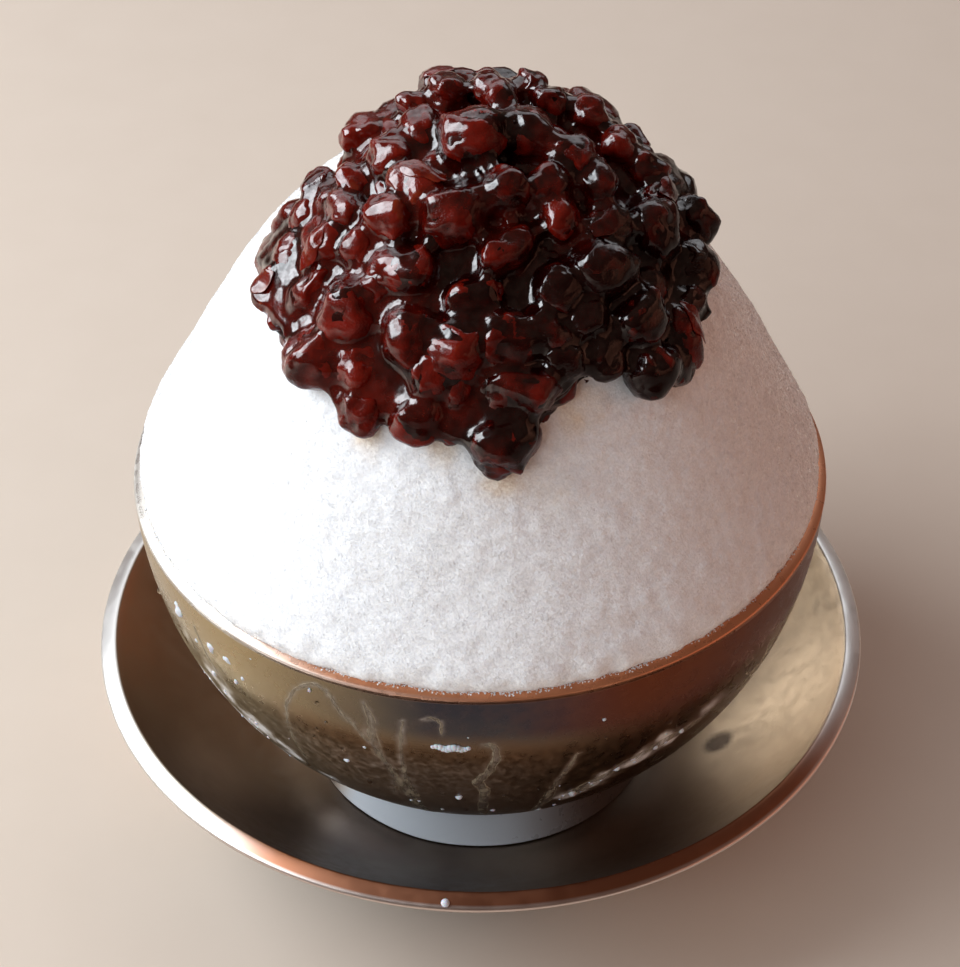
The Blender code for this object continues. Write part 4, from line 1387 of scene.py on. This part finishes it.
def mound_place(points):
    """Where points are on the mound, and by how much they rise above the heap's own thinning edge.

    Gives degrees from the front, distance down the slope, lift, and the excess of that lift at
    the upper left, where the heap thins out, and at the right of its crown, which is notched.
    """
    azimuth = degrees_from_front(points)
    radius = np.hypot(points[:, 0], points[:, 1])[:, None]
    away = np.hypot(SLOPE_RADII - radius, SLOPE_HEIGHTS - points[:, 2:3]) / MM
    nearest = away.argmin(axis=1)
    length, lift = SLOPE_LENGTHS[nearest] / MM, away.min(axis=1)
    thinned = ease(-azimuth, 76, 92) * ease(azimuth, -176, -160)
    thin_top = np.interp(length, (8, 14, 20, 26, 30), (9.0, 5.2, 2.2, -0.8, -5.0))
    notched = ease(azimuth, 50, 80) * ease(-azimuth, -170, -145)
    notch_top = np.interp(length, (4, 8, 12, 18, 24, 30), (9.0, 6.5, 5.2, 5.0, 6.0, 9.0))
    excess = thinned * np.clip(lift - thin_top, 0, None) + notched * np.clip(lift - notch_top, 0, None)
    return azimuth, length, lift, excess


# %% Fill the gaps
OPEN_ICE = ((-37, 52), (35, 51))
FILLING_WIDTHS = (5.0, 6.5, 8.0, 9.5, 11.5, 13.0)
FILLING_TONES = (0.1, 0.2, 0.3, 0.35, 0.45, 0.55, 0.7)


def filling_beans(heap, spacing, seed, tries=2600):
    """Rows for beans that fill the gaps between the placed ones."""
    rng = random.Random(seed)
    taken = []
    for azimuth, length, lift, width, height, _ in PLACED_BEANS:
        origin, _, _, out = mound_axes(azimuth, length * MM)
        taken.append((origin + out * (lift - 1.5) * MM, min(width, height) * 0.48 * MM))
    faces = list(heap.data.polygons)
    areas = [face.area for face in faces]
    rows = []
    for face in rng.choices(faces, areas, k=tries):
        outward = Vector((face.center.x, face.center.y, 25 * MM)).normalized()
        if face.normal.dot(outward) < 0.25:
            continue
        corners = [heap.data.vertices[index].co for index in face.vertices]
        shares = [rng.random() for corner in corners]
        point = sum((corner * share for corner, share in zip(corners, shares)), Vector()) / sum(shares)
        width = rng.choice(FILLING_WIDTHS) * rng.uniform(0.9, 1.1)
        height = min(width, rng.uniform(4.8, 9.0))
        if any((point - other).length < reach + 0.45 * spacing * MM for other, reach in taken):
            continue
        taken.append((point, min(width, height) * 0.45 * MM))
        azimuth, length, lift, excess = (float(value[0]) for value in mound_place(np.array([point])))
        sunk = float(2.0 + 1.6 * bump_at(abs(azimuth), 95, 45) + 2.7 * bump_at(azimuth, 5, 65))
        sunk = max(sunk, excess + 0.6) + rng.uniform(-0.8, 1.0)
        tone = rng.choice(FILLING_TONES)
        open_ice = any(abs(azimuth - side) < 7 and abs(length - down) < 5 for side, down in OPEN_ICE)
        if open_ice or lift < max(2.0, excess + 0.2):
            continue
        rows.append((azimuth, length, lift - sunk, width, height, tone))
    return rows


heap = heap_surface()
filling_rows = filling_beans(heap, spacing=5.0, seed=77)
filling_mesh = bean_mesh("beans_filling", filling_rows, cuts=8, seed=52, sink=0.18)
filler = link_piece("beans_filling", filling_mesh, BEAN_FINISH)
settle_beans(filler)
print("beans placed by hand:", len(PLACED_BEANS), "and filling:", len(filling_rows))

# %% [markdown]
# ## Syrup and paste between the beans
# Burst beans and thick syrup hold the heap together. Their surface runs up each bean in a
# smooth curve, a meniscus. All beans and a smaller core are fused by voxels, swelled, fused
# again and drawn back in. Gaps narrower than the swelling stay filled, and wider ones come
# out round. How far it swells, and how much paste covers the beans, differs from place to place.
# Metaballs could give such curves too, but the beans would lose their shapes in them.

# %% Fuse, relax and swell a surface
def fuse(mesh, cell):
    """One closed surface around everything in the mesh, in voxels of this size."""
    block = bpy.data.objects.new("fusing", mesh)
    bpy.context.scene.collection.objects.link(block)
    remesh = block.modifiers.new("fuse", "REMESH")
    remesh.mode = "VOXEL"
    remesh.voxel_size = cell
    fused = bpy.data.meshes.new_from_object(block.evaluated_get(bpy.context.evaluated_depsgraph_get()))
    bpy.data.objects.remove(block)
    return fused


def join_meshes(*meshes):
    """Several meshes as one."""
    bm = bmesh.new()
    for mesh in meshes:
        bm.from_mesh(mesh)
    return mesh_from(bm, "joined")


def relax(mesh, rounds, share=0.5):
    """Even the surface out: each point moves part of the way to the middle of its neighbours."""
    edges = np.empty(len(mesh.edges) * 2, np.int64)
    mesh.edges.foreach_get("vertices", edges)
    first, second = edges.reshape(-1, 2).T
    points = points_of(mesh)
    count = np.bincount(edges, minlength=len(points))[:, None]
    for _ in range(rounds):
        total = np.zeros_like(points)
        np.add.at(total, first, points[second])
        np.add.at(total, second, points[first])
        points += share * (total / count - points)
    set_points(mesh, points)


def swell(mesh, amount):
    """Push each point out along its normal."""
    set_points(mesh, points_of(mesh) + normals_of(mesh) * amount)


# %% Draw the syrup over the beans
def fill_depth(points):
    """How far syrup bridges the gaps, which differs from place to place."""
    return np.clip(0.75 + 0.7 * lumps(points, 10 * MM, 44), 0.15, None) * MM


def coating(points):
    """Here and there mashed paste covers the beans; elsewhere the syrup stays just below them."""
    return (0.32 * ease(lumps(points, 9 * MM, 57), 0.0, 0.5) - 0.12) * MM


def sink_core(mesh):
    """Draw the heap's form in below its beans, and lower it where mound_place finds an excess."""
    swell(mesh, -3.8 * MM)
    points = points_of(mesh)
    azimuth, _, _, excess = mound_place(points)
    side = np.radians(azimuth)
    inwards = np.column_stack((-0.64 * np.sin(side), 0.64 * np.cos(side), np.full(len(side), -0.77)))
    set_points(mesh, points + inwards * excess[:, None] * MM)


# %% Make the syrup
def make_syrup_surface(heap):
    """The whole surface of paste and syrup around the core and all beans."""
    core = fuse(heap.data, 1.0 * MM)
    sink_core(core)
    surface = fuse(join_meshes(core, beans.data, filler.data), 0.6 * MM)
    swell(surface, fill_depth(points_of(surface))[:, None])
    surface = fuse(surface, 0.55 * MM)
    relax(surface, 3)
    points = points_of(surface)
    swell(surface, (coating(points) - fill_depth(points))[:, None])
    relax(surface, 2)
    points = points_of(surface)
    crinkle = 0.10 * lumps(points, 1.4 * MM, 60) + 0.12 * lumps(points, 3 * MM, 61)
    swell(surface, crinkle[:, None] * MM)
    return surface


syrup = link_piece("bean_syrup", make_syrup_surface(heap), PASTE_FINISH)
bpy.data.objects.remove(heap)
points = points_of(syrup.data)
# The syrup's tone carries the same painted light and shade, with random swings.
tone = 0.02 + painted_light_tone(points) + 0.25 * lumps(points, 6 * MM, 12) + 0.15 * lumps(points, 1.5 * MM, 13)
set_share(syrup.data, "tone", np.clip(tone, 0, 1))
wet_down(syrup.data)
settle(syrup, "sweet_red_bean")

# %% [markdown]
# ## Loose skins
# Some skins have come off their beans and lie over them as thin flakes, brown where light
# comes through. Each starts as a ball of quads pressed flat with a ragged outline. It is laid
# on the heap point by point: down to the first thing below it, bridging the hollows in part.
# Cloth simulation could drape it, but at this size casting rays is quicker and just as close.
# They are listed as (degrees, distance down the slope, width, height, tone).

# %% Loose skins
LOOSE_SKINS = ((-28, 16.5, 9, 4, 0.75), (-66, 43, 4.5, 5, 0.75), (-54, 33, 3.5, 7, 0.7),
               (55, 47, 3.5, 8, 0.6), (44, 27, 8, 3.5, 0.2), (36, 31, 8, 4, 0.15), (75, 30, 6, 5, 0.3),
               (118, 16, 7, 5, 0.5), (-160, 18, 6, 5, 0.6), (150, 25, 7, 6, 0.5))


DROP_FROM = 25


def laid_skin(surface, ball, row, rng):
    """The points of one thin flake laid over the surface."""
    azimuth, length, width, height, _ = row
    origin, around, down, out = mound_axes(azimuth, length * MM)
    angle = np.arctan2(ball[:, 1], ball[:, 0])
    ring = np.column_stack((np.cos(angle), np.sin(angle), np.full(len(ball), rng.uniform(0, 9))))
    ragged = 1.0 + 0.35 * lumps(ring, 0.6, 3)
    across = ball[:, 0] * ragged * width / 2
    along = ball[:, 1] * ragged * height / 2
    above = []
    for right, up in zip(across, along):
        start = origin + (around * right - down * up) * MM + out * DROP_FROM * MM
        hit = surface.ray_cast(start, -out, 30 * MM)[0]
        above.append(DROP_FROM - (start - hit).length / MM if hit else 2.0)
    above = np.array(above)
    lift = np.maximum(above, 0.5 * above + 0.5 * np.quantile(above, 0.6)) + 0.22 + 0.16 * ball[:, 2]
    axes = np.array((around, -down, out))
    return (np.array(origin) / MM + np.column_stack((across, along, lift)) @ axes) * MM


# %% All skins as one piece
def skin_mesh():
    """All loose skins as one mesh, with their tones."""
    under = join_meshes(beans.data, filler.data, syrup.data)
    corners = [vert.co.copy() for vert in under.vertices]
    surface = BVHTree.FromPolygons(corners, [tuple(face.vertices) for face in under.polygons])
    ball, ball_faces = ball_of_quads(7)
    rng = random.Random(63)
    points, faces, tones = [], [], []
    for row in LOOSE_SKINS:
        placed = laid_skin(surface, ball, row, rng)
        faces += [[len(points) * len(ball) + corner for corner in face] for face in ball_faces]
        points.append(placed)
        tones.append(row[4] + 0.2 * lumps(placed, 1.5 * MM, 8))
    mesh = bpy.data.meshes.new("loose_skins")
    mesh.from_pydata(np.vstack(points).tolist(), [], faces)
    set_share(mesh, "tone", np.clip(np.concatenate(tones), 0, 1))
    return mesh


skins = link_piece("loose_skins", skin_mesh(), BEAN_FINISH)
settle_beans(skins)

# %% [markdown]
# ## Studio
# A pale floor under the saucer, and five soft lights. A large cool window at the left grazes
# the ice and lights one side of every bean, and a wide cool one behind edges the top. Another
# at the left front fills the shadows without showing in the metal. Two warm ones at the right
# do the same for the dark side. An environment could light it all in one step, but with
# windows it is plain which of them makes each highlight. The camera is a telephoto that
# looks down at forty degrees.

# %% Floor
def make_floor():
    """A large plain floor just below the saucer."""
    material, tree, shader, place = make_finish("studio_floor", Roughness=0.7)
    grain = noise_value(tree, place, 60.0, 4.0)
    colour = mix_colour(tree, grain, (0.64, 0.55, 0.46), (0.67, 0.58, 0.49))
    fill(tree, shader["Base Color"], colour)
    bm = bmesh.new()
    bmesh.ops.create_grid(bm, x_segments=8, y_segments=8, size=3.0)
    floor = link_piece("studio_floor", mesh_from(bm, "studio_floor"), material)
    floor.location.z = -0.3 * MM
    return floor


floor = make_floor()


# %% Lights
def add_window(name, azimuth, elevation, distance, width, height, colour, power):
    """A rectangular soft light that faces the ice; azimuth is measured from the front towards +X."""
    light = bpy.data.lights.new(name, "AREA")
    light.shape = "RECTANGLE"
    light.size = width
    light.size_y = height
    light.color = colour
    light.energy = power
    lamp = bpy.data.objects.new(name, light)
    bpy.context.scene.collection.objects.link(lamp)
    side, up = math.radians(azimuth), math.radians(elevation)
    aim = Vector((0.0, 0.0, RIM_Z))
    away = Vector((math.sin(side) * math.cos(up), -math.cos(side) * math.cos(up), math.sin(up)))
    lamp.location = aim + away * distance
    lamp.rotation_euler = away.to_track_quat("Z", "Y").to_euler()
    return lamp


add_window("window", -95, 38, 0.9, 0.75, 0.55, (0.90, 0.95, 1.0), 9.8)
add_window("soft_back", 180, 38, 1.5, 2.4, 0.8, (0.92, 0.95, 1.0), 6.5)
soft_front = add_window("soft_front", -46, 28, 1.6, 1.6, 1.0, (0.86, 0.94, 1.0), 14.7)
soft_front.visible_glossy = False
add_window("warm_right", 80, 14, 1.3, 1.6, 0.6, (1.0, 0.42, 0.27), 2.3)
warm_fill = add_window("warm_fill", 45, 55, 1.5, 2.0, 2.0, (1.0, 0.46, 0.28), 1.5)
warm_fill.visible_glossy = False
print("lights:", ", ".join(f"{light.name} {light.energy:.1f} W" for light in bpy.data.lights))

world = bpy.data.worlds.new("studio")
world.use_nodes = True
bpy.context.scene.world = world
world.node_tree.nodes["Background"].inputs["Color"].default_value = (1.0, 0.61, 0.47, 1.0)
world.node_tree.nodes["Background"].inputs["Strength"].default_value = 0.09
bpy.context.scene.view_settings.view_transform = "Standard"

# %% Camera
LOOKS_DOWN = 40.35
CAMERA_ROLL = -0.3
camera = bpy.data.objects.new("camera", bpy.data.cameras.new("camera"))
bpy.context.scene.collection.objects.link(camera)
camera.data.lens = 89.35
camera.data.sensor_width = 36.0
camera.data.clip_start = 0.01
camera.location = (0.0, -348.8 * MM, RIM_Z + 288.3 * MM)
tip = Matrix.Rotation(math.radians(90 - LOOKS_DOWN), 3, "X")
roll = Matrix.Rotation(math.radians(CAMERA_ROLL), 3, "Z")
camera.rotation_euler = (tip @ roll).to_euler()
bpy.context.scene.camera = camera
print("camera looks down", LOOKS_DOWN, "degrees from", [round(v, 3) for v in camera.location])
